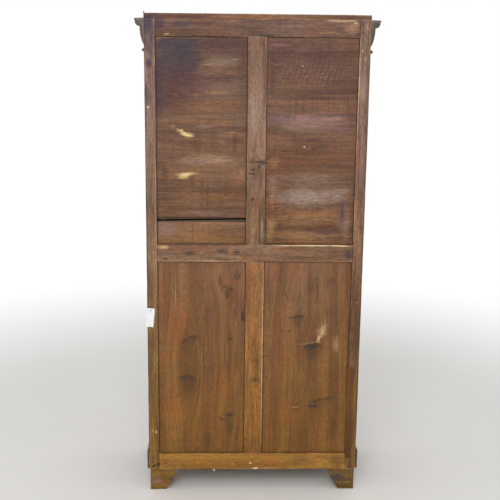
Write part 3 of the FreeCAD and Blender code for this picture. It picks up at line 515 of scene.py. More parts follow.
# %% Speckle group
speckle_inputs = {"Place": (0, 0, 0), "Shift": (0, 0, 0), "Fleck width": 0.007, "Patch width": 0.05}
speckle, w, result, sockets = new_group("speckle", speckle_inputs, {"Fleck": "Float", "Hue": "Float"})
place, shift, fleck_width, patch_width = sockets
FLECK_PULL, HUE_PULL = (1, 1, 0.32), (1, 1, 0.4)
moved = w.vector("ADD", place, shift)
w.fill(result, {
    "Fleck": w.noise(w.stretch(moved, FLECK_PULL), w.over(1, fleck_width), detail=3, roughness=0.7),
    "Hue": w.noise(w.stretch(moved, HUE_PULL), w.over(1, patch_width), detail=2, roughness=0.45),
})

# %% [markdown]
# ## Wood: kinds of mark
# The back was never polished. Boards were scraped in moving, wiped with dirty rags and stood against damp
# walls. All of that comes down to a few kinds of mark. A kind has a colour, the raggedness and softness of
# its rim, and the share of the wood that it hides.

# %% Kinds of mark
MARK_KINDS = {
    "bare": ((218, 190, 134), 0.55, 0.7, 0.9),
    "cream": ((234, 210, 160), 0.5, 0.8, 0.85),
    "pale": ((184, 148, 106), 0.5, 0.95, 0.6),
    "tan": ((172, 134, 94), 0.5, 0.8, 0.6),
    "gold": ((158, 112, 64), 0.5, 0.9, 0.55),
    "rust": ((146, 90, 56), 0.4, 0.9, 0.5),
    "plum": ((64, 53, 66), 0.3, 0.6, 0.8),
    "slate": ((58, 48, 54), 0.25, 0.6, 0.95),
    "wine": ((86, 48, 50), 0.3, 0.85, 0.75),
    "violet": ((114, 88, 96), 0.25, 0.9, 0.7),
    "rose": ((170, 120, 114), 0.25, 0.9, 0.7),
    "mauve": ((152, 119, 114), 0.25, 0.9, 0.75),
    "ash": ((150, 124, 106), 0.3, 0.9, 0.65),
    "dust": ((166, 146, 134), 0.25, 0.9, 0.75),
    "glow": ((160, 122, 84), 0.2, 1.0, 0.4),
    "umber": ((88, 58, 38), 0.5, 0.9, 0.6),
    "shade": ((80, 54, 36), 0.2, 0.9, 0.5),
    "black": ((56, 44, 40), 0.5, 0.7, 0.8),
    # Soot and shade: painted shade along the posts' outer arrises and under a hollow's lip, and a darkening
    # of the moulding ends.
    "soot_and_shade": ((62, 52, 48), 0.25, 0.5, 0.8),
    "swirl": ((50, 36, 28), 0.3, 0.4, 0.8),
    "smoke": ((70, 62, 60), 0.1, 0.3, 0.9),
    "chalk": ((242, 228, 208), 0.2, 0.4, 0.95),
    "scratch": ((204, 176, 134), 0.5, 0.9, 0.7),
    # A dark purple-grey patch, laid in an upper panel's corner.
    "purple_grey_patch": ((64, 51, 60), 0.15, 0.35, 0.85),
    "joint": ((34, 24, 20), 0.15, 0.5, 0.85),
    "edge": ((200, 170, 144), 0.45, 0.6, 0.8),
}
print(f"{len(MARK_KINDS)} kinds of mark")

# %% [markdown]
# ## Wood: marks on the upper panels
# The upper panels are the most weathered boards: pale bands run along their level grain, bare wood shows in
# bright gouges, and dark patches, some of them purple-grey, lie in the corners. A mark is a kind, its middle
# across and up the back, its reach each way, all in millimetres, and sometimes a tilt in degrees. A later
# mark lies over an earlier one.

# %% Marks on the upper panels
UPPER_PANEL_MARKS = {
    "back_upper_panel_right": [
        ("wine", 310, 1800, 150, 130), ("wine", 300, 1838, 90, 40), ("wine", 352, 1785, 52, 90),
        ("wine", 390, 1800, 64, 170), ("plum", 408, 1815, 28, 170), ("shade", 320, 1840, 130, 160),
        ("wine", 200, 1978, 250, 44), ("umber", 150, 1984, 180, 30), ("purple_grey_patch", 350, 1962, 84, 46),
        ("purple_grey_patch", 285, 1958, 66, 52), ("purple_grey_patch", 350, 1900, 76, 70), ("purple_grey_patch", 284, 1908, 60, 56),
        ("wine", 340, 1850, 96, 60), ("shade", 130, 1945, 210, 90), ("wine", 130, 1978, 190, 50),
        ("ash", 150, 1908, 100, 38), ("scratch", 199, 1898, 30, 2.5, 3), ("scratch", 86, 1919, 20, 2.5),
        ("wine", 140, 1838, 130, 30), ("tan", 165, 1781, 66, 10), ("gold", 250, 1770, 30, 18),
        ("gold", 190, 1725, 170, 50), ("gold", 210, 1660, 180, 22), ("umber", 240, 1570, 180, 34),
        ("ash", 215, 1643, 60, 14), ("tan", 348, 1640, 24, 12), ("umber", 90, 1577, 60, 26),
        ("pale", 205, 1512, 110, 22), ("glow", 220, 1500, 240, 130), ("ash", 195, 1502, 150, 34),
        ("mauve", 190, 1500, 90, 14), ("shade", 392, 1430, 32, 90), ("gold", 170, 1345, 150, 24),
        ("mauve", 230, 1274, 180, 16), ("tan", 110, 1618, 40, 8), ("gold", 300, 2003, 130, 6),
        ("bare", 316, 1622, 30, 12, -16), ("bare", 288, 1609, 34, 15, -12),
        ("cream", 292, 1610, 25, 9, -14), ("bare", 290, 1441, 46, 11, 4), ("bare", 308, 1430, 26, 12),
        ("cream", 292, 1440, 30, 7), ("tan", 62, 1442, 30, 30), ("shade", 240, 1250, 190, 14),
        ("purple_grey_patch", 330, 1985, 110, 26), ("shade", 150, 1985, 220, 28), ("shade", 60, 1850, 36, 140),
        ("shade", 85, 1578, 80, 30), ("ash", 190, 1496, 130, 24), ("pale", 150, 1500, 70, 14),
        ("ash", 300, 1500, 60, 24), ("shade", 380, 1450, 36, 44), ("glow", 285, 1340, 100, 90),
    ],
    "back_slip_board": [
        ("mauve", 380, 1205, 55, 45), ("gold", 210, 1162, 180, 16), ("umber", 266, 1190, 5, 50),
        ("tan", 205, 1234, 70, 7),
    ],
    "back_upper_panel_left": [
        ("gold", -232, 2006, 185, 4), ("wine", -230, 1905, 260, 150), ("wine", -110, 1968, 80, 36),
        ("wine", -66, 1860, 30, 140), ("wine", -230, 1764, 210, 24), ("umber", -280, 1566, 110, 20),
        ("rose", -90, 1978, 60, 10), ("gold", -216, 1801, 170, 4), ("gold", -217, 1749, 190, 5),
        ("gold", -300, 1775, 100, 4), ("shade", -230, 1709, 200, 7), ("rose", -320, 1702, 74, 2.5, 3),
        ("violet", -84, 1681, 56, 20), ("violet", -90, 1680, 66, 24), ("plum", -134, 1684, 16, 12),
        ("rose", -188, 1682, 46, 22), ("rose", -188, 1681, 38, 17), ("rose", -280, 1706, 60, 4),
        ("violet", -340, 1690, 70, 24), ("violet", -345, 1636, 60, 30), ("mauve", -216, 1676, 170, 28),
        ("tan", -322, 1679, 66, 11), ("mauve", -215, 1662, 230, 48), ("wine", -225, 1585, 160, 14),
        ("gold", -223, 1519, 190, 5), ("umber", -224, 1492, 210, 28), ("rust", -200, 1495, 190, 20),
        ("ash", -225, 1415, 210, 40), ("dust", -215, 1346, 190, 66), ("dust", -225, 1348, 190, 50),
        ("dust", -355, 1362, 56, 44), ("ash", -75, 1395, 40, 70), ("umber", -165, 1432, 50, 16),
        ("ash", -70, 1425, 34, 24), ("ash", -376, 1290, 22, 50), ("ash", -370, 1228, 34, 46),
        ("tan", -66, 1222, 34, 44), ("tan", -70, 1340, 14, 56), ("tan", -225, 1262, 200, 60),
        ("tan", -225, 1180, 190, 40), ("gold", -242, 1271, 160, 18), ("umber", -244, 1205, 170, 18),
        ("gold", -200, 1152, 180, 9), ("tan", -216, 1553, 16, 9), ("chalk", -201, 1559, 5, 5),
        ("tan", -80, 1897, 14, 5), ("cream", -188, 1894, 5, 4), ("shade", -90, 1930, 80, 90),
        ("shade", -370, 1930, 60, 110), ("ash", -190, 1634, 150, 26), ("tan", -75, 1495, 30, 30),
        ("ash", -230, 1432, 180, 22), ("tan", -64, 1205, 24, 70), ("ash", -388, 1212, 24, 90),
        ("umber", -220, 1546, 200, 36), ("violet", -370, 1276, 26, 104), ("wine", -370, 1284, 15, 72),
        ("violet", -288, 1194, 92, 16), ("wine", -296, 1193, 82, 11),
    ],
}
print(f"upper panels: {[len(marks) for marks in UPPER_PANEL_MARKS.values()]} marks")

# %% [markdown]
# ## Wood: marks on the lower panels
# The lower panels are cleaner, and their marks follow the upright grain: dark streaks and shade round the
# knots, thin scratches, and a pale scrape. One list for each board lets a board be changed without touching
# the others.

# %% Marks on the lower panels
LOWER_PANEL_MARKS = {
    "back_lower_panel_right": [
        ("umber", 346, 940, 3, 80), ("scratch", 342, 930, 2, 90), ("umber", 84, 990, 20, 30),
        ("umber", 86, 820, 12, 60), ("pale", 303, 1027, 34, 3, 17), ("black", 152, 984, 6, 36),
        ("rust", 112, 984, 28, 30), ("gold", 179, 993, 14, 30), ("black", 120, 914, 11, 32, -4),
        ("umber", 68, 1002, 24, 26), ("black", 46, 830, 10, 50), ("joint", 52, 815, 6, 34),
        ("rust", 188, 904, 18, 60), ("umber", 204, 830, 20, 90), ("black", 107, 714, 14, 10),
        ("umber", 112, 610, 17, 130), ("umber", 129, 610, 3, 125), ("black", 129, 640, 2.4, 110),
        ("gold", 80, 520, 22, 130), ("gold", 348, 640, 13, 110), ("pale", 230, 618, 3, 125),
        ("umber", 202, 570, 24, 140), ("umber", 142, 595, 7, 9), ("pale", 159, 471, 12, 4),
        ("black", 142, 341, 8, 20, 60), ("black", 106, 358, 26, 13, 10), ("shade", 112, 310, 28, 60),
        ("shade", 200, 240, 40, 40), ("rust", 281, 216, 70, 9), ("gold", 347, 270, 16, 50),
    ],
    "back_lower_panel_left": [
        ("black", -188, 817, 30, 6, 6), ("black", -168, 816, 24, 4, 4), ("umber", -145, 811, 24, 5),
        ("umber", -190, 785, 24, 32), ("scratch", -205, 691, 30, 2.5, 3),
        # Below the hollow at (-256, 692), the black, soot and shade marks paint the shade under its lip.
        ("scratch", -250, 696, 34, 2.5, 9), ("cream", -284, 701, 16, 3, 6), ("black", -254, 678, 38, 13, 2),
        ("soot_and_shade", -250, 672, 36, 16), ("shade", -250, 640, 46, 40), ("tan", -300, 758, 34, 56, -20),
        ("pale", -297, 752, 26, 56, -20), ("scratch", -298, 754, 18, 46, -20),
        ("bare", -285, 718, 9, 20, -20), ("pale", -360, 690, 26, 54, 6), ("tan", -360, 684, 9, 34),
        ("rust", -402, 830, 14, 120), ("wine", -272, 920, 10, 70), ("black", -132, 925, 2.4, 60, 23),
        ("umber", -255, 960, 40, 60), ("umber", -195, 780, 22, 240), ("rust", -110, 640, 40, 330),
        ("umber", -330, 970, 40, 50), ("umber", -190, 410, 34, 6), ("scratch", -186, 394, 28, 2, 2),
        ("umber", -186, 386, 28, 5), ("black", -262, 398, 38, 11), ("pale", -264, 412, 8, 4),
        ("black", -284, 429, 24, 3.5, 16), ("black", -335, 441, 36, 3, 11), ("umber", -66, 900, 20, 140),
        ("black", -121, 753, 6, 7), ("black", -154, 750, 8, 7), ("umber", -360, 290, 22, 80),
        ("rust", -66, 267, 20, 30), ("rust", -340, 395, 12, 40),
    ],
}
print(f"lower panels: {[len(marks) for marks in LOWER_PANEL_MARKS.values()]} marks")

# %% [markdown]
# ## Wood: marks on the frame, the top and the feet
# Posts, rails and muntins carry narrower marks: rubbed edges, dark joints where a rail meets a post, and a
# dark line down each post's outer arris, which is painted shade where the back turns into the side. The
# ends of the mouldings are alike at both sides, so their marks are listed once and mirrored.

# %% Marks on the frame, the top and the feet
FRAME_MARKS = {
    "back_middle_rail": [
        ("black", 279, 1101, 28, 16), ("black", 140, 1112, 34, 16), ("umber", 43, 1092, 36, 20),
        ("umber", 78, 1102, 28, 24), ("black", 80, 1104, 18, 12), ("umber", -25, 1098, 24, 22),
        ("ash", 228, 1104, 26, 14), ("joint", 419, 1100, 2.6, 40), ("joint", -419, 1100, 2.6, 40),
        ("bare", 390, 1126, 30, 9), ("black", 385, 1075, 18, 9), ("umber", 330, 1078, 16, 9),
        ("scratch", 220, 1067, 180, 5), ("plum", -402, 1095, 24, 30), ("gold", -190, 1112, 160, 12),
        ("edge", -232, 1136, 190, 5), ("edge", -230, 1137, 190, 3.5), ("cream", -240, 1136.5, 170, 4),
        ("cream", -360, 1135, 50, 5),
    ],
    "back_upper_muntin": [
        ("swirl", 20, 1494, 17, 5, 10), ("swirl", -9, 1496, 16, 6), ("slate", -28, 1495, 13, 18),
        ("swirl", -12, 1477, 9, 8), ("swirl", 16, 1463, 20, 5.5, 4), ("swirl", 20, 1445, 20, 5.5, -6),
        ("swirl", 12, 1336, 12, 7, 20), ("umber", 14, 1320, 14, 40), ("dust", -27, 1207, 12, 70),
        ("shade", -20, 1975, 16, 24), ("ash", 18, 1790, 14, 90), ("ash", -14, 1370, 14, 60),
        ("gold", 16, 1800, 8, 150), ("dust", 14, 1690, 26, 120),
    ],
    "back_lower_muntin": [
        ("umber", -6, 525, 26, 26), ("black", -4, 528, 12, 12), ("umber", 12, 987, 9, 12),
        ("edge", -37, 640, 5, 470), ("shade", 0, 230, 36, 70), ("gold", 0, 920, 30, 60),
        ("shade", -10, 640, 24, 170), ("umber", -14, 590, 16, 70),
    ],
    "rear_post_right": [
        ("plum", 444, 2010, 44, 150), ("plum", 452, 2060, 40, 60), ("plum", 455, 1780, 12, 60),
        ("mauve", 424, 1850, 5, 300), ("plum", 446, 1900, 16, 30), ("mauve", 446, 1810, 14, 60),
        ("shade", 444, 1540, 20, 60), ("gold", 446, 1240, 16, 70), ("chalk", 451, 1721, 5, 5),
        ("bare", 432, 278, 7, 11), ("bare", 446, 284, 5, 7), ("umber", 432, 540, 10, 16),
        ("umber", 448, 140, 22, 30), ("tan", 424, 1480, 5, 200), ("umber", 448, 858, 20, 6),
        # The dark line at the outer arris is painted shade.
        ("soot_and_shade", 463, 1000, 5, 1000),
    ],
    "rear_post_left": [
        ("black", -426, 2065, 4, 5), ("pale", -446, 2052, 16, 22), ("edge", -421, 1750, 3, 330),
        ("edge", -422, 1830, 4, 230), ("dust", -440, 1800, 22, 90), ("mauve", -440, 1660, 20, 110),
        ("edge", -431, 1958, 3.5, 8), ("pale", -446, 1926, 7, 12), ("scratch", -446, 883, 16, 3, 8),
        ("mauve", -446, 1500, 14, 200), ("umber", -440, 260, 30, 190), ("scratch", -422, 1300, 3, 90),
        # The last mark, a dark line at the outer arris, is painted shade.
        ("shade", -444, 780, 60, 420), ("shade", -446, 700, 50, 300), ("soot_and_shade", -463, 1000, 5, 1000),
    ],
    "back_top_rail": [
        ("plum", 320, 2058, 60, 14), ("wine", 230, 2060, 90, 14), ("umber", -175, 2064, 70, 12),
        ("gold", 366, 2073, 40, 6), ("tan", 110, 2070, 45, 6), ("tan", -300, 2030, 50, 10),
        ("ash", -380, 2045, 44, 34), ("tan", -386, 2050, 46, 24), ("pale", -400, 2063, 17, 15),
        ("bare", -399, 2070, 14, 5), ("edge", -345, 2078, 80, 4.5), ("scratch", 372, 2018, 18, 5),
        ("scratch", -345, 2074, 70, 5), ("umber", 20, 2030, 80, 26), ("black", -30, 2016, 60, 8),
        ("tan", -260, 2025, 9, 6), ("pale", -388, 2020, 12, 5), ("plum", 408, 2060, 40, 36),
        ("joint", 419, 2045, 2.6, 38), ("joint", -418.5, 2045, 3, 38),
    ],
    "top_board": [
        ("plum", 440, 2090, 60, 24), ("wine", 280, 2092, 190, 16), ("gold", -60, 2090, 300, 12),
        ("umber", -380, 2092, 80, 14),
    ],
    "back_bottom_rail": [
        ("chalk", -12, 102, 17, 5), ("cream", 11, 127, 7, 6), ("tan", 92, 125, 12, 7),
        ("umber", -380, 130, 40, 40), ("rust", 160, 128, 20, 6), ("umber", -320, 150, 60, 14),
        ("umber", -220, 138, 80, 26), ("shade", 395, 137, 26, 26), ("joint", 419, 136, 2.2, 40),
        ("joint", -418.5, 136, 2.6, 40),
    ],
    "foot_rear_right": [("tan", 352, 40, 8, 30), ("mauve", 430, 40, 40, 20)],
    "foot_rear_left": [("tan", -432, 30, 12, 8), ("plum", -380, 60, 60, 30)],
}
ONE_END_MARKS = [
    ("smoke", 484, 2010, 60, 130), ("ash", 490, 2074, 20, 4), ("soot_and_shade", 470, 130, 24, 80),
    ("soot_and_shade", 468, 1930, 20, 40),
]
END_MARKS = [(kind, side * x, *rest) for side in (-1, 1) for kind, x, *rest in ONE_END_MARKS]
MARKS = {**UPPER_PANEL_MARKS, **LOWER_PANEL_MARKS, **FRAME_MARKS}
print(f"{sum(len(marks) for marks in MARKS.values())} marks on {len(MARKS)} boards")

# %% [markdown]
# ## Wood: where the hollows, the chatter and the knots are
# These come from the tree and the plane, not from use, so they are listed apart from the marks. A hollow
# has a middle, a reach and a slope, a patch of chatter a middle and a reach, and a knot a middle and a
# radius.

# %% Hollows, chatter and knots
HOLLOWS = {
    "back_lower_panel_right": [
        (281, 724, 56, 140, -0.12), (288, 542, 58, 100, 0.12), (112, 950, 40, 80, 0.1),
    ],
    "back_lower_panel_left": [
        (-190, 822, 44, 70, -0.1), (-256, 692, 58, 110, -0.08), (-300, 434, 70, 60, -0.3),
    ],
}
SKIPS = {
    "back_upper_panel_left": [(-225, 1878, 200, 80)],
}
KNOTS = {
    "back_lower_panel_right": [
        (290, 690, 34), (290, 520, 40), (107, 714, 18), (142, 968, 22), (116, 345, 28),
    ],
    "back_lower_panel_left": [(-190, 806, 28), (-262, 680, 36), (-270, 404, 30)],
    "back_upper_muntin": [(4, 1472, 26), (14, 1338, 9)],
    "back_lower_muntin": [(12, 987, 8), (-6, 525, 14)],
    "rear_post_right": [(432, 540, 10), (446, 690, 8)],
}
print(f"{sum(len(knots) for knots in KNOTS.values())} knots on {len(KNOTS)} boards")

# %% [markdown]
# ## Wood: laying damage over a colour
# Damage lies on the outer face of a board only, so every mask is multiplied by a value that is 1 there and
# 0 inside. A mark isn't a flat patch of paint, because the grain still shows through it. So its colour is
# mixed with the wood below before it is laid on.

# %% Damage helpers
HOLLOW_SHARE, SKIP_SHARE, MARK_GRAIN_SHARE = 0.75, 0.3, 0.3
# The painted shade under a torn hollow's lip.
hollow_shade_tone, skip_tone = (50, 34, 22), (166, 132, 112)


def lay(w, colour, mask, share, tone):
    """Lays a tone over a colour where a mask says so."""
    return w.mix(w.times(mask, share), colour, tint(*tone))


def area(x, z, across, up):
    """A middle and a reach on the back, from millimetres. The reach goes right through the board."""
    return {"centre": (x * mm, 0, z * mm), "reach": (across * mm, 1, up * mm)}


def lay_damage(w, colour, coordinates, outside, stretch, hollows, skips, marks):
    """Lays the painted shade of torn hollows, then chatter, then marks over a colour, on the outer face
    only.
    """
    for *torn_area, slope in hollows:
        mask = w.group(hollow, coordinates=coordinates, slope=slope, **area(*torn_area))["Mask"]
        colour = lay(w, colour, mask, w.times(outside, HOLLOW_SHARE), hollow_shade_tone)
    for skipped_area in skips:
        mask = w.group(chatter, coordinates=coordinates, **area(*skipped_area))["Mask"]
        colour = lay(w, colour, mask, w.times(outside, SKIP_SHARE), skip_tone)
    for kind, x, z, across, up, *tilt in marks:
        mark_tone, ragged, soft, share = MARK_KINDS[kind]
        turn = math.radians(tilt[0]) if tilt else 0.0
        mask = w.group(mark, coordinates=coordinates, stretch=stretch, tilt=turn, ragged=ragged, soft=soft,
                       **area(x, z, across, up))["Mask"]
        marked = w.mix(MARK_GRAIN_SHARE, tint(*mark_tone), colour, "SOFT_LIGHT")
        colour = w.mix(w.times(mask, w.times(outside, share)), colour, marked)
    return colour


print(f"a hollow hides up to {HOLLOW_SHARE:.0%} of the wood, and chatter up to {SKIP_SHARE:.0%}")

# %% [markdown]
# ## Wood: the finish
# One function makes every wood finish. It starts from a middle tone, spreads it into the dark and pale wood
# of the grain, lets each board differ a little, and then lays on knots, damage, wear, and grime with painted
# shade at the panels' rims, in that order. The lower half of the back is more golden than the upper half,
# which a slow change with height gives: that is painted light, the yellow glow that a floor throws up onto
# the boards. Roughness and a little bump follow the same grain, so that light catches what the colour shows.

# %% Wood finish
DARK_WOOD_SHARES, PALE_WOOD_SHARES = (0.62, 0.57, 0.52), (1.40, 1.43, 1.42)
FIGURE_STEP, FIBRE_STEP = (0.38, 0.62), (0.55, 0.3)
CLOUD_TINTS = (((0.52, 0.72), (0.88, 0.92, 1.10)), ((0.48, 0.28), (1.08, 1.00, 0.80)))
HUE_TINTS = (((0.5, 0.68), (1.07, 0.94, 0.86)), ((0.5, 0.32), (0.95, 1.01, 0.93)))
# Painted light: the golden tint that light thrown up from a yellow floor gives the lower back.
BOUNCE_TINT_SHARES = (0.95, 0.85, 0.21)
FIBRE_SHARE, HEART_SHARE, WEAR_SHARE, GRIME_AND_SHADE_SHARE, HOLE_SHARE = 0.45, 0.25, 0.55, 0.85, 0.9
worn_tone, grime_and_shade_tone, heart_tone = (182, 146, 104), (40, 28, 20), (70, 48, 32)
bounce_top, bounce_foot = 1.9, 0.2
patch_scale, patch_depth, patch_least, board_tone_depth = 5, 0.7, 0.66, 0.07
rough_spread, rough_drop = 0.25, 0.12
FIGURE_RELIEF, FIBRE_RELIEF, SAW_RELIEF = 0.6, 0.4, 0.3
bump_strength, bump_depth = 0.35, 0.0012
wood_shine, coat_roughness = 0.35, 0.25
UPRIGHT_STRETCH, SIDEWAYS_STRETCH = (1, 1, 0.12), (0.12, 1, 1)


def parted(middle, shares, spread):
    """The middle colour moved toward dark or pale wood."""
    moved = [level * (1 + (share - 1) * spread) for level, share in zip(middle, shares)]
    return tuple(min(1, level) for level in moved) + (1,)


def wood(name, tone, waviness=1.0, band=0.03, ring=0.01, spread=1.0, roughness=0.55, worn=0.004, rim_grime_and_shade=0.0,
         painted_bounce=0.0, coat=0.0, sawn=0.3, fleck=0.8, sideways=False, outer=None, marks=(), hollows=(), knots=(),
         skips=()):
    """A wood finish. Tone is its middle colour on screen, spread how far dark and pale wood part from it."""
    material, w, shader = new_finish(name)
    coordinates = w.coordinates()
    place, half, shift = [w.attribute(f"board_{part}") for part in ("place", "half", "shift")]
    board_tone = w.attribute("board_tone", "Fac")

    bent_place = place
    hearts = []
    for x, z, radius in knots:
        found = w.group(knot, coordinates=coordinates, centre=(x * mm, 0, z * mm), radius=radius * mm)
        bent_place = w.vector("ADD", bent_place, found["Push"])
        hearts.append(found["Heart"])
    figure = w.group(grain, place=bent_place, shift=shift, band_width=band, ring_width=ring,
                     waviness=waviness)
    speckles = w.group(speckle, place=place, shift=shift)
    dark, pale = [parted(tint(*tone), shares, spread) for shares in (DARK_WOOD_SHARES, PALE_WOOD_SHARES)]
    colour = w.mix(w.ease(figure["Figure"], *FIGURE_STEP), dark, pale)
    colour = w.mix(w.times(w.ease(figure["Fibre"], *FIBRE_STEP), FIBRE_SHARE), colour, dark)
    for value, tints in ((figure["Cloud"], CLOUD_TINTS), (speckles["Hue"], HUE_TINTS)):
        for step, shares in tints:
            colour = w.mix(w.ease(value, *step), colour, shares + (1,), "MULTIPLY")
    patchy = w.noise(w.vector("ADD", coordinates, shift), patch_scale, detail=4, roughness=0.6)
    value = w.plus(w.times_add(patchy, patch_depth, patch_least), w.times(board_tone, board_tone_depth))
    colour = w.brighten(colour, value)
    sawing = w.group(saw, place=place, shift=shift)["Mask"]
    colour = w.mix(w.times(sawing, sawn), colour, dark)

    outside = 1.0 if outer is None else w.math("GREATER_THAN", w.split(coordinates)[1], outer)
    # Painted light: toward the foot the boards turn golden, as if lit from a yellow floor below.
    if painted_bounce:
        low = w.times(w.ease(w.split(coordinates)[2], bounce_top, bounce_foot), outside)
        colour = w.mix(w.times(low, painted_bounce), colour, BOUNCE_TINT_SHARES + (1,), "MULTIPLY")
    for heart in hearts:
        colour = lay(w, colour, heart, HEART_SHARE, heart_tone)
    stretch = SIDEWAYS_STRETCH if sideways else UPRIGHT_STRETCH
    colour = lay_damage(w, colour, coordinates, outside, stretch, hollows, skips, marks)

    rubbed = w.group(wear, place=place, half=half, shift=shift, width=worn)["Mask"]
    colour = lay(w, colour, rubbed, WEAR_SHARE, worn_tone)
    # Grime with painted shade darkens a panel's rim where it meets the frame.
    if rim_grime_and_shade:
        grime_and_shade_mask = w.group(grime_and_shade, place=place, half=half, shift=shift, reach=rim_grime_and_shade)["Mask"]
        colour = lay(w, colour, grime_and_shade_mask, GRIME_AND_SHADE_SHARE, grime_and_shade_tone)
    colour = w.brighten(colour, w.times_add(speckles["Fleck"], fleck, 1 - fleck / 2))
    holes = w.group(worm, coordinates=coordinates)["Mask"]
    colour = lay(w, colour, holes, HOLE_SHARE, grime_and_shade_tone)

    relief = w.times_add(figure["Figure"], FIGURE_RELIEF, w.times(figure["Fibre"], FIBRE_RELIEF))
    relief = w.minus(relief, w.times_add(sawing, SAW_RELIEF, holes))
    w.fill(shader.inputs, {
        "Base Color": colour,
        "Roughness": w.times_add(figure["Fibre"], rough_spread, roughness - rough_drop),
        "Normal": w.bump(relief, bump_strength, bump_depth),
        "Specular IOR Level": wood_shine,
        "Coat Weight": coat,
        "Coat Roughness": coat_roughness,
    })
    print(f"{name}: {len(w.tree.nodes)} nodes, {len(marks)} marks")
    return material


# %% [markdown]
# ## Which board gets which finish
# Every board of the back has its own tone, as the boards came from different trees and aged in different
# ways. The sides, the front and the doors were stained and waxed, so they are darker, evener and a little
# glossy. The inside is plain planed wood.

# %% Finishes by board
LEVEL_BOARD = {"sideways": True}
NARROW_BOARD = {"band": 0.02}
UPPER_PANEL = {"sideways": True, "spread": 0.95, "band": 0.05, "sawn": 0.65, "fleck": 1.3}
LOWER_PANEL = {"spread": 0.7, "band": 0.05, "rim_grime_and_shade": 0.008, "waviness": 1.4, "fleck": 1.1}
BACK_FINISHES = {
    "back_top_rail": {**LEVEL_BOARD, "tone": (110, 79, 66)},
    "back_middle_rail": {**LEVEL_BOARD, "tone": (132, 101, 92)},
    "back_bottom_rail": {**LEVEL_BOARD, "tone": (154, 115, 92), "spread": 0.7},
    "back_upper_muntin": {**NARROW_BOARD, "tone": (124, 95, 80)},
    "back_lower_muntin": {**NARROW_BOARD, "tone": (144, 101, 78), "spread": 0.8},
    "rear_post_right": {**NARROW_BOARD, "tone": (134, 104, 90)},
    "rear_post_left": {**NARROW_BOARD, "tone": (120, 91, 80)},
    "back_upper_panel_right": {**UPPER_PANEL, "tone": (109, 78, 62), "rim_grime_and_shade": 0.008},
    "back_slip_board": {
        **LEVEL_BOARD, "tone": (126, 91, 72), "band": 0.04, "rim_grime_and_shade": 0.008, "spread": 0.75, "fleck": 1.3,
    },
    "back_upper_panel_left": {**UPPER_PANEL, "tone": (105, 72, 55), "rim_grime_and_shade": 0.005},
    "back_lower_panel_right": {**LOWER_PANEL, "tone": (124, 87, 72)},
    "back_lower_panel_left": {**LOWER_PANEL, "tone": (121, 85, 70)},
    "top_board": {**LEVEL_BOARD, "tone": (116, 84, 66), "painted_bounce": 0.0, "roughness": 0.7},
    "foot_rear_right": {**LEVEL_BOARD, "tone": (124, 95, 82)},
    "foot_rear_left": {**LEVEL_BOARD, "tone": (112, 87, 82)},
}
back_defaults = {"painted_bounce": 1.0, "roughness": 0.6, "fleck": 1.6}
deepest_face, end_depth = 14 * mm, 7 * mm
DETAILS = {"marks": MARKS, "hollows": HOLLOWS, "knots": KNOTS, "skips": SKIPS}
finishes = {}
for node, values in BACK_FINISHES.items():
    low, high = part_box(node)
    outer = max((low.y + high.y) / 2, back_y - deepest_face)
    details = {label: table.get(node, ()) for label, table in DETAILS.items()}
    finishes[node] = wood(node, outer=outer, **{**back_defaults, **details, **values})
WAXED_ENDS = ("cornice_left", "cornice_right", "neck_beads", "base_moulding_left", "base_moulding_right")
waxed = {"tone": (98, 62, 42), "roughness": 0.4, "worn": 0.003, "coat": 0.25, "spread": 0.8}
waxed_ends = wood("waxed_ends", outer=back_y - end_depth, marks=END_MARKS, **waxed)
finishes.update({node: waxed_ends for node in WAXED_ENDS})
FINISH_OF_SLOT = {
    "frame_wood": wood("waxed_frame", **waxed),
    "panel_wood": wood("waxed_panel", (92, 56, 38), roughness=0.4, worn=0.0, rim_grime_and_shade=0.006, coat=0.25,
                       waviness=1.6, band=0.05),
    "inside_wood": wood("plain_inside", (142, 108, 78), roughness=0.7, worn=0.003),
    "peg_wood": wood("peg_wood", (108, 80, 64), roughness=0.6, worn=0.0, band=0.01),
}
repair_wood = wood("repair_wood", (100, 68, 50), roughness=0.65, worn=0.003, painted_bounce=1.0, band=0.02)
# Near-black wood: painted shade for the faces inside the cuts and for the sliver in the open joint.
cut_shade_wood = wood("cut_shade_wood", (34, 24, 18), roughness=0.8, worn=0.0, spread=0.5)
chip_wood = wood("chip_wood", (224, 200, 150), roughness=0.7, worn=0.0, spread=0.4)
print(f"{len(bpy.data.materials)} materials so far, with the floor's")

# %% [markdown]
# ## Boards of their own
# A solid may hold several boards, and each board has a grain and an age of its own. The solid's mesh is
# copied, merged and its flat faces joined, and then each loose part becomes a mesh to work on. A board also
# needs a frame of its own: its middle, its half sizes, and which axis runs across it, through it and along
# its grain.

# %% Board helpers
merge_distance = 0.01 * mm
flat_angle = math.radians(0.05)


def separate_boards(mesh):
    """The mesh's loose parts, merged and with flat faces joined, each as a bmesh of its own."""
    whole = bmesh.new()
    whole.from_mesh(mesh)
    bmesh.ops.remove_doubles(whole, verts=whole.verts, dist=merge_distance)
    bmesh.ops.dissolve_limit(whole, angle_limit=flat_angle, verts=whole.verts, edges=whole.edges)
    whole.verts.index_update()
    boards = []
    for first in whole.faces:
        if first.tag:
            continue
        first.tag = True
        found = [first]
        for face in found:
            for edge in face.edges:
                for other in edge.link_faces:
                    if not other.tag:
                        other.tag = True
                        found.append(other)
        board = bmesh.new()
        copies = {}
        for face in found:
            for vert in face.verts:
                if vert.index not in copies:
                    copies[vert.index] = board.verts.new(vert.co)
            board.faces.new([copies[vert.index] for vert in face.verts])
        board.normal_update()
        boards.append(board)
    whole.free()
    return boards


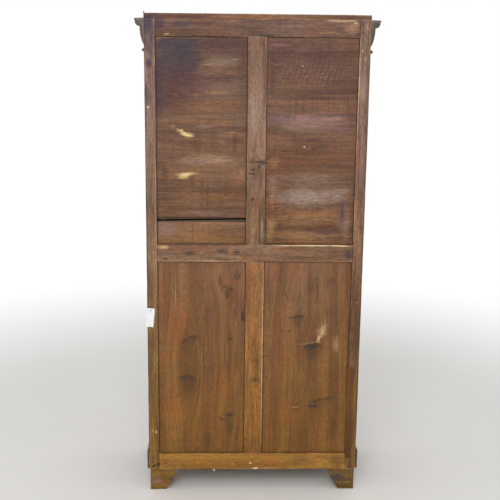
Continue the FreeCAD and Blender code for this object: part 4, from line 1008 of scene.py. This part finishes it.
def board_frame(board, along):
    """The board's middle, half sizes and axes: across its width, through its thickness, along its grain."""
    low = Vector([min(vert.co[axis] for vert in board.verts) for axis in range(3)])
    high = Vector([max(vert.co[axis] for vert in board.verts) for axis in range(3)])
    size = high - low
    if along is None:
        along = max(range(3), key=lambda axis: size[axis])
    across, through = sorted([axis for axis in range(3) if axis != along], key=lambda axis: -size[axis])
    axes = (across, through, along)
    return (low + high) / 2, Vector([size[axis] / 2 for axis in axes]), axes


pegs = separate_boards(frame["nodes"]["frame_pegs"].data)
print(f"the pegs come apart into {len(pegs)} pieces")
for peg in pegs:
    peg.free()

# %% [markdown]
# ## Wear
# A solid's arris is perfectly sharp, and no old board has one. Long outer edges get a small bevel, the
# board is cut into short lengths, and the arrises are then rubbed back unevenly with seeded noise. A bevel
# alone would look machined, because it has the same width all along. Two sawn edges also run out of level,
# at the open joint.

# %% Wear helpers
arris_angle = math.radians(40)
arris_radius, arris_segments, arris_profile = 1.1 * mm, 2, 0.6
least_arris = 14 * mm
ring_spacing = 45 * mm
rub_depth, rub_zone = 1.3 * mm, 3 * mm
broad_rub_scale, fine_rub_scale, fine_rub_share, board_drift = 9, 40, 0.4, 31


def is_arris(edge):
    """A long edge between two faces that meet at a clear outward angle."""
    outward = len(edge.link_faces) == 2 and edge.calc_face_angle_signed(0) > arris_angle
    return outward and edge.calc_length() > least_arris


def wear_board(board, middle, half, axes):
    """Bevels the long arrises, cuts the board into short lengths and rubs the arrises back."""
    sharp = [edge for edge in board.edges if is_arris(edge)]
    bmesh.ops.bevel(board, geom=sharp, offset=arris_radius, segments=arris_segments, profile=arris_profile,
                    affect="EDGES", clamp_overlap=True)
    along = axes[2]
    normal = Vector([1 if axis == along else 0 for axis in range(3)])
    count = int(2 * half[2] / ring_spacing)
    for step in range(1, count):
        at = middle.copy()
        at[along] += -half[2] + 2 * half[2] * step / count
        everything = board.verts[:] + board.edges[:] + board.faces[:]
        bmesh.ops.bisect_plane(board, geom=everything, dist=merge_distance, plane_co=at, plane_no=normal)
    for vert in board.verts:
        away = vert.co - middle
        inside = [half[part] - abs(away[axes[part]]) for part in (0, 1)]
        if max(inside) < rub_zone:
            broad = max(0, noise.noise(vert.co * broad_rub_scale + middle * board_drift))
            rubbed = broad + fine_rub_share * max(0, noise.noise(vert.co * fine_rub_scale))
            for axis in axes[:2]:
                vert.co[axis] -= math.copysign(rub_depth * rubbed, away[axis])


def slope_edge(board, level, zone, low_rise, high_rise):
    """Slopes a sawn edge: it rises by one amount where x is least and by another where x is greatest."""
    across = [vert.co.x for vert in board.verts]
    for vert in board.verts:
        if abs(vert.co.z - level) < zone:
            share = (vert.co.x - min(across)) / (max(across) - min(across))
            vert.co.z += low_rise + (high_rise - low_rise) * share


print(f"arrises bevelled by {arris_radius / mm:.1f} mm, then rubbed where noise says so")

# %% [markdown]
# ## Cuts
# A long crack runs up the upper muntin, and the foot of one post is notched and split. A dark line in the
# colour would do from far off, but it would stay flat at any other angle. So an outline is drawn out to a
# prism and cut from the board with a Boolean, and the faces that the cut leaves get a slot of their own for
# a near-black finish, which paints the deep shade inside the cut.

# %% Cut helpers
def prism(outline, low_y, high_y):
    """A bmesh with an outline across the back, x and z in millimetres, drawn out between two depths."""
    made = bmesh.new()
    ends = [[made.verts.new((x * mm, y, z * mm)) for x, z in outline] for y in (low_y, high_y)]
    made.faces.new(ends[0])
    made.faces.new(ends[1])
    for step in range(len(outline)):
        after = (step + 1) % len(outline)
        made.faces.new((ends[0][step], ends[0][after], ends[1][after], ends[1][step]))
    bmesh.ops.recalc_face_normals(made, faces=made.faces)
    return made


def as_object(name, made):
    """A scene object from a bmesh, with a second material slot for cut faces."""
    mesh = bpy.data.meshes.new(name)
    made.to_mesh(mesh)
    made.free()
    mesh.materials.append(None)
    mesh.materials.append(None)
    return add_object(name, mesh)


def carve(board, outlines, depth):
    """Cuts outlines into a board from its back face. The cut faces come back with material 1."""
    blank = as_object("blank", board)
    cutters = []
    for outline in outlines:
        cutter = as_object("cutter", prism(outline, back_y - depth, back_y + depth))
        cutter.data.polygons.foreach_set("material_index", [1] * len(cutter.data.polygons))
        cut = blank.modifiers.new("cut", "BOOLEAN")
        cut.operation = "DIFFERENCE"
        cut.solver = "EXACT"
        cut.object = cutter
        cutters.append(cutter)
    evaluated = blank.evaluated_get(bpy.context.evaluated_depsgraph_get())
    carved = bmesh.new()
    carved.from_mesh(evaluated.data)
    for thing in cutters + [blank]:
        bpy.data.objects.remove(thing)
    return carved


trial = prism([(0, 0), (1, 0), (0, 1)], 0, mm)
print(f"a prism on a triangle has {len(trial.faces)} faces and {trial.calc_volume() / mm ** 3:.1f} cubic mm")
trial.free()

# %% [markdown]
# ## Where the cuts are
# The crack in the muntin wanders as it follows the grain. It could be drawn point by point, but a seeded
# noise gives a line that wanders in the same way each time. The notch and the split at the foot are listed
# point by point, because their shapes follow no rule.

# %% Outlines of the cuts
split_low, split_high = (-18, 1140), (-14, 1484)
split_steps, split_width, split_head = 12, 2.2, 1.05
split_wander, split_turns, SPLIT_SEED = 1.6, 7, (3, 5)


def split_outline():
    """A long crack: it wanders a little, is widest at its foot and nearly closes at its head."""
    left, right = [], []
    for step in range(split_steps + 1):
        share = step / split_steps
        wander = split_wander * noise.noise((share * split_turns, *SPLIT_SEED))
        x = split_low[0] + (split_high[0] - split_low[0]) * share + wander
        z = split_low[1] + (split_high[1] - split_low[1]) * share
        wide = split_width / 2 * (split_head - share)
        left.append((x - wide, z))
        right.append((x + wide, z))
    return left + right[::-1]


notch_outline = [
    (456, 106), (442, 110), (432, 117), (425, 118), (423, 112), (417, 112), (417, 131), (428, 126),
    (441, 119), (450, 112),
]
foot_split_outline = [(447, 158), (449, 150), (448, 139), (446.5, 139), (447, 150), (446, 157)]
CUTS = {
    "rear_post_right": (5 * mm, [notch_outline, foot_split_outline]),
    "back_upper_muntin": (9 * mm, [split_outline()]),
}
print(f"{sum(len(outlines) for depth, outlines in CUTS.values())} cuts in {len(CUTS)} boards")

# %% [markdown]
# ## Worn pieces
# The worn boards of a solid go back into one mesh. Four attributes go with each board: the place in its own
# frame with Z along the grain, its half sizes, a random shift and a random tone. The finishes read those,
# so one material serves many boards that all look different. A finished piece rides on its body and stands
# for the solid.

# %% Worn mesh and piece helpers
shift_reach = 4
smooth_angle = math.radians(35)
chance = random.Random(1735)


def worn_mesh(name, boards, along=None, rim=None, outlines=(), depth=0):
    """One mesh out of several worn boards, with the attributes that the finishes read."""
    verts, faces, shades = [], [], []
    places, halves, shifts, tones = [], [], [], []
    for board in boards:
        middle, half, axes = board_frame(board, along)
        wear_board(board, middle, half, axes)
        if outlines:
            board = carve(board, outlines, depth)
        shown_half = half - rim if rim else half
        shift = [chance.uniform(-shift_reach, shift_reach) for _ in range(3)]
        tone = chance.uniform(-1, 1)
        board.verts.index_update()
        start = len(verts)
        for vert in board.verts:
            verts.append(vert.co.copy())
            away = vert.co - middle
            places.append([away[axis] for axis in axes])
            halves.append(shown_half)
            shifts.append(shift)
            tones.append(tone)
        faces += [[start + vert.index for vert in face.verts] for face in board.faces]
        shades += [face.material_index for face in board.faces]
        board.free()
    mesh = bpy.data.meshes.new(name)
    mesh.from_pydata(verts, [], faces)
    for label, rows in (("board_place", places), ("board_half", halves), ("board_shift", shifts)):
        layer = mesh.attributes.new(label, "FLOAT_VECTOR", "POINT")
        layer.data.foreach_set("vector", [level for row in rows for level in row])
    mesh.attributes.new("board_tone", "FLOAT", "POINT").data.foreach_set("value", tones)
    mesh.polygons.foreach_set("material_index", shades)
    mesh.polygons.foreach_set("use_smooth", [True] * len(mesh.polygons))
    mesh.set_sharp_from_angle(angle=smooth_angle)
    return mesh


def add_piece(name, mesh, body, replaced=()):
    """Puts a mesh in the scene, riding on a body, and standing for the solids that it replaces."""
    piece = add_object(name, mesh)
    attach(piece, body)
    if replaced:
        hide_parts(*replaced)


print(f"edges over {math.degrees(smooth_angle):.0f} degrees stay sharp")

# %% [markdown]
# ## Wear every board
# Grain runs along a board's longest side, apart from the upper panels, where it runs level. A panel's
# tongue is hidden in the frame's groove, so grime and painted shade are measured from the edge that shows,
# not from the edge of the board. The nodes are taken in the order of their names, so that each board gets
# the same random draws every time.

# %% Wear every wooden solid
LEVEL, UPRIGHT = 0, 2
GRAIN_AXIS = {"back_upper_panel_right": LEVEL, "back_slip_board": LEVEL, "back_upper_panel_left": LEVEL}
sloped_zone = 20 * mm
SLOPED_EDGES = {
    "back_upper_panel_right": (1249 * mm, sloped_zone, 5 * mm, -3 * mm),
    "back_slip_board": (1245 * mm, sloped_zone, 3 * mm, -5 * mm),
}
panel_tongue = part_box("back_upper_panel_left")[1].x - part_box("back_upper_muntin")[0].x
hidden_rim = Vector((panel_tongue, 0, panel_tongue))
face_count = 0
for node in sorted(slot_of):
    slot = slot_of[node]
    if slot not in FINISH_OF_SLOT:
        continue
    boards = separate_boards(frame["nodes"][node].data)
    if node in SLOPED_EDGES:
        slope_edge(boards[0], *SLOPED_EDGES[node])
    rim = hidden_rim if slot == "panel_wood" else None
    depth, outlines = CUTS.get(node, (0, ()))
    mesh = worn_mesh(f"{node}_worn", boards, GRAIN_AXIS.get(node), rim, outlines, depth)
    mesh.materials.append(finishes.get(node, FINISH_OF_SLOT[slot]))
    if outlines:
        # The cut faces take the near-black wood, which paints the shade inside the cut.
        mesh.materials.append(cut_shade_wood)
        print(f"{node}: {sum(face.material_index for face in mesh.polygons)} cut faces")
    add_piece(f"{node}_worn", mesh, body_of[node], [node])
    face_count += len(mesh.polygons)
print(f"{face_count} faces on worn boards")

# %% [markdown]
# ## Repairs and splinters
# The foot of one post was mended with a strip let in nearly flush, which stands a little over the panel. A
# pale splinter hangs below the bottom rail, a dark one stands up at a top corner, and a near-black sliver
# fills the open joint, as painted shade in the gap. Each is an outline drawn out to a prism and worn like a
# board, which gives it a grain and eased edges too.

# %% Repair strip and splinters
strip_outline = [
    (-447, 583), (-432, 585), (-416, 587), (-415.5, 470), (-416.2, 320), (-415.8, 153), (-430, 150),
    (-446, 152), (-448, 300), (-447.5, 450),
]
splinter_outline = [(168, 100), (181, 100), (178, 91), (174, 84), (171, 88)]
sliver_outline = [(384, 1240.5), (402, 1240), (400, 1246.5), (387, 1247)]
corner_outline = [(458, 2099), (466, 2099), (465.6, 2104), (464.6, 2107.5), (462.8, 2105), (461, 2101)]
SCRAPS = (
    ("repair_strip", strip_outline, -6, 1.2, UPRIGHT, repair_wood, "frame_wood"),
    ("splinter", splinter_outline, -9, -4, UPRIGHT, chip_wood, "frame_wood"),
    # The sliver is near-black, painted shade filling the open joint.
    ("joint_sliver", sliver_outline, -15, -8, LEVEL, cut_shade_wood, "panel_wood"),
    ("corner_splinter", corner_outline, -12, -0.5, UPRIGHT, finishes["top_board"], "frame_wood"),
)
for name, outline, inner, outer, along, finish, slot in SCRAPS:
    mesh = worn_mesh(name, [prism(outline, back_y + inner * mm, back_y + outer * mm)], along)
    mesh.materials.append(finish)
    add_piece(name, mesh, "carcass")
    print(f"{name}: {len(mesh.polygons)} faces")

# %% [markdown]
# ## Paper tag
# A paper tag is tacked to the other post. It is a thin sheet that curls away at its lower corner. A cloth
# simulation could curl it, but the sheet is small and stiff, so it is built as a grid, bent by a formula
# and then given thickness. It stays blank.

# %% Paper tag
tag_width, tag_height, tag_thickness = 33 * mm, 84 * mm, 0.35 * mm
tag_middle = Vector((452 * mm, back_y + 0.6 * mm, 812 * mm))
tag_lean = Matrix.Rotation(math.radians(-5.5), 3, "Y")
tag_curl, curl_start = 4 * mm, 0.35
tag_ripple, ripples_across, ripples_up, ripple_seed = 0.5 * mm, 2, 3, 8
tag_corner, corner_start = 3 * mm, 1.85
tag_steps_across, tag_steps_up = 8, 18


def tag_point(across, up):
    """A point of the curled sheet, from its step across and up the grid."""
    u = across / tag_steps_across - 0.5
    v = up / tag_steps_up - 0.5
    ripple = tag_ripple * abs(noise.noise((u * ripples_across, v * ripples_up, ripple_seed)))
    lifted = max(0, u - v - curl_start) ** 2 * tag_curl + ripple
    trimmed = tag_corner * max(0, abs(u) * 2 + abs(v) * 2 - corner_start)
    x = u * tag_width - math.copysign(trimmed, u)
    z = v * tag_height - math.copysign(trimmed, v)
    return tag_middle + tag_lean @ Vector((x, lifted, z))


sheet = bmesh.new()
rows = [
    [sheet.verts.new(tag_point(across, up)) for across in range(tag_steps_across + 1)]
    for up in range(tag_steps_up + 1)
]
for low_row, high_row in zip(rows, rows[1:]):
    for across in range(tag_steps_across):
        sheet.faces.new((low_row[across], high_row[across], high_row[across + 1], low_row[across + 1]))
bmesh.ops.recalc_face_normals(sheet, faces=sheet.faces)
bmesh.ops.solidify(sheet, geom=sheet.faces[:], thickness=tag_thickness)
bmesh.ops.recalc_face_normals(sheet, faces=sheet.faces)
tag_mesh = bpy.data.meshes.new("paper_tag")
sheet.to_mesh(tag_mesh)
sheet.free()

CLEAN_PAPER, STAINED_PAPER, PAPER_FIBRE = tint(240, 240, 243), tint(226, 222, 226), tint(200, 196, 190)
paper_stain_scale, PAPER_STAIN_STEP = 45, (0.5, 0.75)
paper_fibre_scale, paper_fibre_part, paper_roughness = 900, 0.12, 0.85
paper_bump_strength, paper_bump_depth = 0.2, 0.0004
paper, w, shader = new_finish("old_paper")
coordinates = w.coordinates()
stained = w.ease(w.noise(coordinates, paper_stain_scale, detail=4, roughness=0.6), *PAPER_STAIN_STEP)
fibrous = w.noise(coordinates, paper_fibre_scale, detail=3)
colour = w.mix(stained, CLEAN_PAPER, STAINED_PAPER)
w.fill(shader.inputs, {
    "Base Color": w.mix(w.times(fibrous, paper_fibre_part), colour, PAPER_FIBRE),
    "Normal": w.bump(fibrous, paper_bump_strength, paper_bump_depth),
    "Roughness": paper_roughness,
})
tag_mesh.materials.append(paper)
add_piece("paper_tag", tag_mesh, "carcass")
print(f"tag {tag_width / mm:.0f} by {tag_height / mm:.0f} mm")

# %% [markdown]
# ## Metal
# Hinges and the keyhole plate are old brass, dull and brown where nobody touches them. The lock, key and
# rod bolts are dark iron with some rust. Both come from one function: a metal colour, a patina colour, and
# noise that decides where the patina sits and how rough it is.

# %% Metal finishes
patina_scale, speck_scale, speck_part = 60, 600, 0.3
patina_start, patina_end = 1.05, 0.75
bare_metal, patina_loss, patina_roughness = 0.95, 0.55, 0.3
metal_bump_strength, metal_bump_depth = 0.25, 0.0006


def aged_metal(name, bright, patina, cover, roughness):
    """A metal under a patina. Cover moves the limit that the noise has to pass to show one or the other."""
    material, w, shader = new_finish(name)
    coordinates = w.coordinates()
    cloudy = w.noise(coordinates, patina_scale, detail=5, roughness=0.65)
    speckled = w.noise(coordinates, speck_scale, detail=3, roughness=0.6)
    bare = w.ease(w.times_add(speckled, speck_part, cloudy), patina_start - cover, patina_end - cover)
    covered = w.minus(1, bare)
    w.fill(shader.inputs, {
        "Base Color": w.mix(covered, tint(*bright), tint(*patina)),
        "Metallic": w.times_add(covered, -patina_loss, bare_metal),
        "Roughness": w.times_add(covered, patina_roughness, roughness),
        "Normal": w.bump(speckled, metal_bump_strength, metal_bump_depth),
    })
    return material


METALS = {
    "brass": aged_metal("old_brass", (190, 152, 84), (92, 70, 40), cover=0.35, roughness=0.32),
    "iron": aged_metal("dark_iron", (98, 94, 90), (66, 48, 38), cover=0.45, roughness=0.4),
}
for node, slot in slot_of.items():
    if slot in METALS:
        mesh = frame["nodes"][node].data
        mesh.materials.clear()
        mesh.materials.append(METALS[slot])
print("brass and iron on the hinges, lock, key and bolts")

# %% [markdown]
# ## Heads of screws, nails and pins
# There are many heads, so one node tree makes a head and sets it on every point of a small mesh that
# carries only places and the way each head faces. A screw is a low cone with a slot cut across it, and a
# nail is a flattened ball. Each head is turned by its own seeded angle, because nobody lines the slots up.

# %% Node tree for heads
HEAD_INPUTS = {
    "Radius": ("Float", 0.003), "Height": ("Float", 0.001), "Slotted": ("Bool", True), "Seed": ("Int", 5),
}
cone_sides, cone_taper = 20, 0.72
slot_length, slot_width = 2.4, 0.26
nail_segments, nail_rings, nail_oval = 14, 8, 0.86


def fastener_tree():
    """Puts a slotted screw or a domed nail on each point, facing the way that the point's attribute says."""
    tree = bpy.data.node_groups.new("fastener_heads", "GeometryNodeTree")
    sockets = tree.interface
    sockets.new_socket("Geometry", in_out="INPUT", socket_type="NodeSocketGeometry")
    for label, (kind, start) in HEAD_INPUTS.items():
        sockets.new_socket(label, in_out="INPUT", socket_type=f"NodeSocket{kind}").default_value = start
    sockets.new_socket("Finish", in_out="INPUT", socket_type="NodeSocketMaterial")
    sockets.new_socket("Geometry", in_out="OUTPUT", socket_type="NodeSocketGeometry")
    w = Wiring(tree)

    def step(kind, inputs, output=0, **settings):
        return w.node(kind, inputs, **settings).outputs[output]

    given = w.node("NodeGroupInput").outputs
    radius, height = given["Radius"], given["Height"]
    top = w.times(radius, cone_taper)
    disc = {"Vertices": cone_sides, "Radius Top": top, "Radius Bottom": radius, "Depth": height}
    cone = step("GeometryNodeMeshCone", disc, "Mesh")
    blade_size = w.join(w.times(radius, slot_length), w.times(radius, slot_width), height)
    blade = step("GeometryNodeMeshCube", {"Size": blade_size}, "Mesh")
    blade = step("GeometryNodeTransform", {"Geometry": blade, "Translation": w.join(0, 0, height)})
    screw = step("GeometryNodeMeshBoolean", {"Mesh 1": cone, "Mesh 2": blade}, operation="DIFFERENCE")
    sphere = {"Segments": nail_segments, "Rings": nail_rings, "Radius": radius}
    ball = step("GeometryNodeMeshUVSphere", sphere, "Mesh")
    squash = w.join(1, nail_oval, w.over(height, radius))
    nail = step("GeometryNodeTransform", {"Geometry": ball, "Scale": squash})
    head = step("GeometryNodeSwitch", {"Switch": given["Slotted"], "False": nail, "True": screw})
    facing = step("GeometryNodeInputNamedAttribute", {"Name": "facing"}, data_type="FLOAT_VECTOR")
    upright = step("FunctionNodeAlignRotationToVector", {"Vector": facing}, axis="Z")
    # Input 3 and output 1 of a random value are those for plain numbers.
    spin = step("FunctionNodeRandomValue", {"Seed": given["Seed"], 3: math.tau}, 1, data_type="FLOAT")
    turn = step("FunctionNodeAxisAngleToRotation", {"Axis": (0, 0, 1), "Angle": spin})
    turning = {"Rotation": upright, "Rotate By": turn}
    turned = step("FunctionNodeRotateRotation", turning, rotation_space="LOCAL")
    placed = {"Points": given["Geometry"], "Instance": head, "Rotation": turned}
    heads = step("GeometryNodeRealizeInstances", {"Geometry": step("GeometryNodeInstanceOnPoints", placed)})
    done = step("GeometryNodeSetMaterial", {"Geometry": heads, "Material": given["Finish"]})
    w.node("NodeGroupOutput", {"Geometry": done})
    return tree


heads_tree = fastener_tree()
print(f"the tree for heads has {len(heads_tree.nodes)} nodes")

# %% [markdown]
# ## Heads on a body
# A modifier runs the tree on a mesh of bare points. Each point carries the way its head faces as an
# attribute, so one list can hold heads on several faces. The result is made a plain mesh, one for each
# list, so that it rides on its body like any other piece.

# %% Head helper
head_sockets = {
    socket.name: socket.identifier for socket in heads_tree.interface.items_tree if socket.in_out == "INPUT"
}


def add_heads(name, body, rows, metal, head):
    """One mesh of heads for one body. Each row is a place in millimetres and the way the head faces."""
    mesh = bpy.data.meshes.new(name)
    mesh.from_pydata([Vector(place) * mm for place, facing in rows], [], [])
    layer = mesh.attributes.new("facing", "FLOAT_VECTOR", "POINT")
    layer.data.foreach_set("vector", [level for place, facing in rows for level in facing])
    maker = add_object(name, mesh)
    modifier = maker.modifiers.new("heads", "NODES")
    modifier.node_group = heads_tree
    radius, height, slotted = head
    values = {"Radius": radius * mm, "Height": height * mm, "Slotted": slotted, "Finish": METALS[metal]}
    for label, value in values.items():
        modifier[head_sockets[label]] = value
    made = bpy.data.meshes.new_from_object(maker.evaluated_get(bpy.context.evaluated_depsgraph_get()))
    bpy.data.objects.remove(maker)
    made.name = name
    add_piece(name, made, body)
    print(f"{name}: {len(rows)} heads, {len(made.polygons)} faces")


print(f"inputs of the tree: {', '.join(head_sockets)}")

# %% [markdown]
# ## Where the heads go
# Screws hold the hinges, the lock, its keeper and the bolt guides, and pins hold the keyhole plate. Cut
# nails hold the mouldings, the top board and the tag, and a few were driven into the back. A kind of head
# has a radius and a height, in millimetres like the places, and says whether it has a slot.

# %% Set the heads
HINGE_SCREW, LOCK_SCREW, SMALL_SCREW = (3.2, 0.9, True), (3.4, 1.4, True), (1.9, 0.9, True)
PLATE_PIN, CUT_NAIL = (1.7, 0.9, False), (2.4, 0.8, False)
TO_BACK, TO_FRONT, UP = (0, 1, 0), (0, -1, 0), (0, 0, 1)
hinge_levels, screw_spread = (392, 1070, 1748), 30
leaf_depth, post_face, door_edge = -194, 420, 418
screw_levels = [level + offset for level in hinge_levels for offset in (-screw_spread, 0, screw_spread)]
for side, label in ((-1, "left"), (1, "right")):
    on_post = [((side * post_face, leaf_depth, z), (-side, 0, 0)) for z in screw_levels]
    on_door = [((side * door_edge, leaf_depth, z), (side, 0, 0)) for z in screw_levels]
    add_heads(f"hinge_screws_post_{label}", "carcass", on_post, "brass", HINGE_SCREW)
    add_heads(f"hinge_screws_door_{label}", f"door_{label}", on_door, "brass", HINGE_SCREW)

lock_face, guide_face, plate_face = -166, -161.5, -207.5
guide_levels = (231, 341, 1797, 1907)
DOOR_HEADS = (
    ("lock_screws", "door_right", (12.5, 68.5), lock_face, (1052.5, 1148.5), TO_BACK, "iron", LOCK_SCREW),
    ("keeper_screws", "door_left", (-13,), lock_face, (1109.6, 1132.4), TO_BACK, "iron", SMALL_SCREW),
    ("guide_screws", "door_left", (-48.5, -29.5), guide_face, guide_levels, TO_BACK, "iron", SMALL_SCREW),
    ("keyhole_plate_pins", "door_right", (45.5,), plate_face, (1074, 1127), TO_FRONT, "brass", PLATE_PIN),
)
for name, body, across, face, levels, facing, metal, head in DOOR_HEADS:
    add_heads(name, body, [((x, face, z), facing) for x in across for z in levels], metal, head)

top_face, back_face, tag_face = 2100, 244, 245.2
skirt_front, skirt_end, skirt_level = -214, 473, 150
DRIVEN_NAILS = ((402, 1076), (352, 1074), (-408, 1122), (-402, 2020))
top_nails, top_nail_depths = range(-440, 441, 110), (-192, 230)
front_nails, side_nails = range(-440, 441, 176), range(-180, 221, 100)
nail_rows = [((x, y, top_face), UP) for x in top_nails for y in top_nail_depths]
nail_rows += [((x, skirt_front, skirt_level), TO_FRONT) for x in front_nails]
nail_rows += [((side * skirt_end, y, skirt_level), (side, 0, 0)) for side in (-1, 1) for y in side_nails]
nail_rows += [((-425, back_face, 2064), TO_BACK), ((450.5, tag_face, 845), TO_BACK)]
nail_rows += [((x, back_face, z), TO_BACK) for x, z in DRIVEN_NAILS]
add_heads("iron_nails", "carcass", nail_rows, "iron", CUT_NAIL)
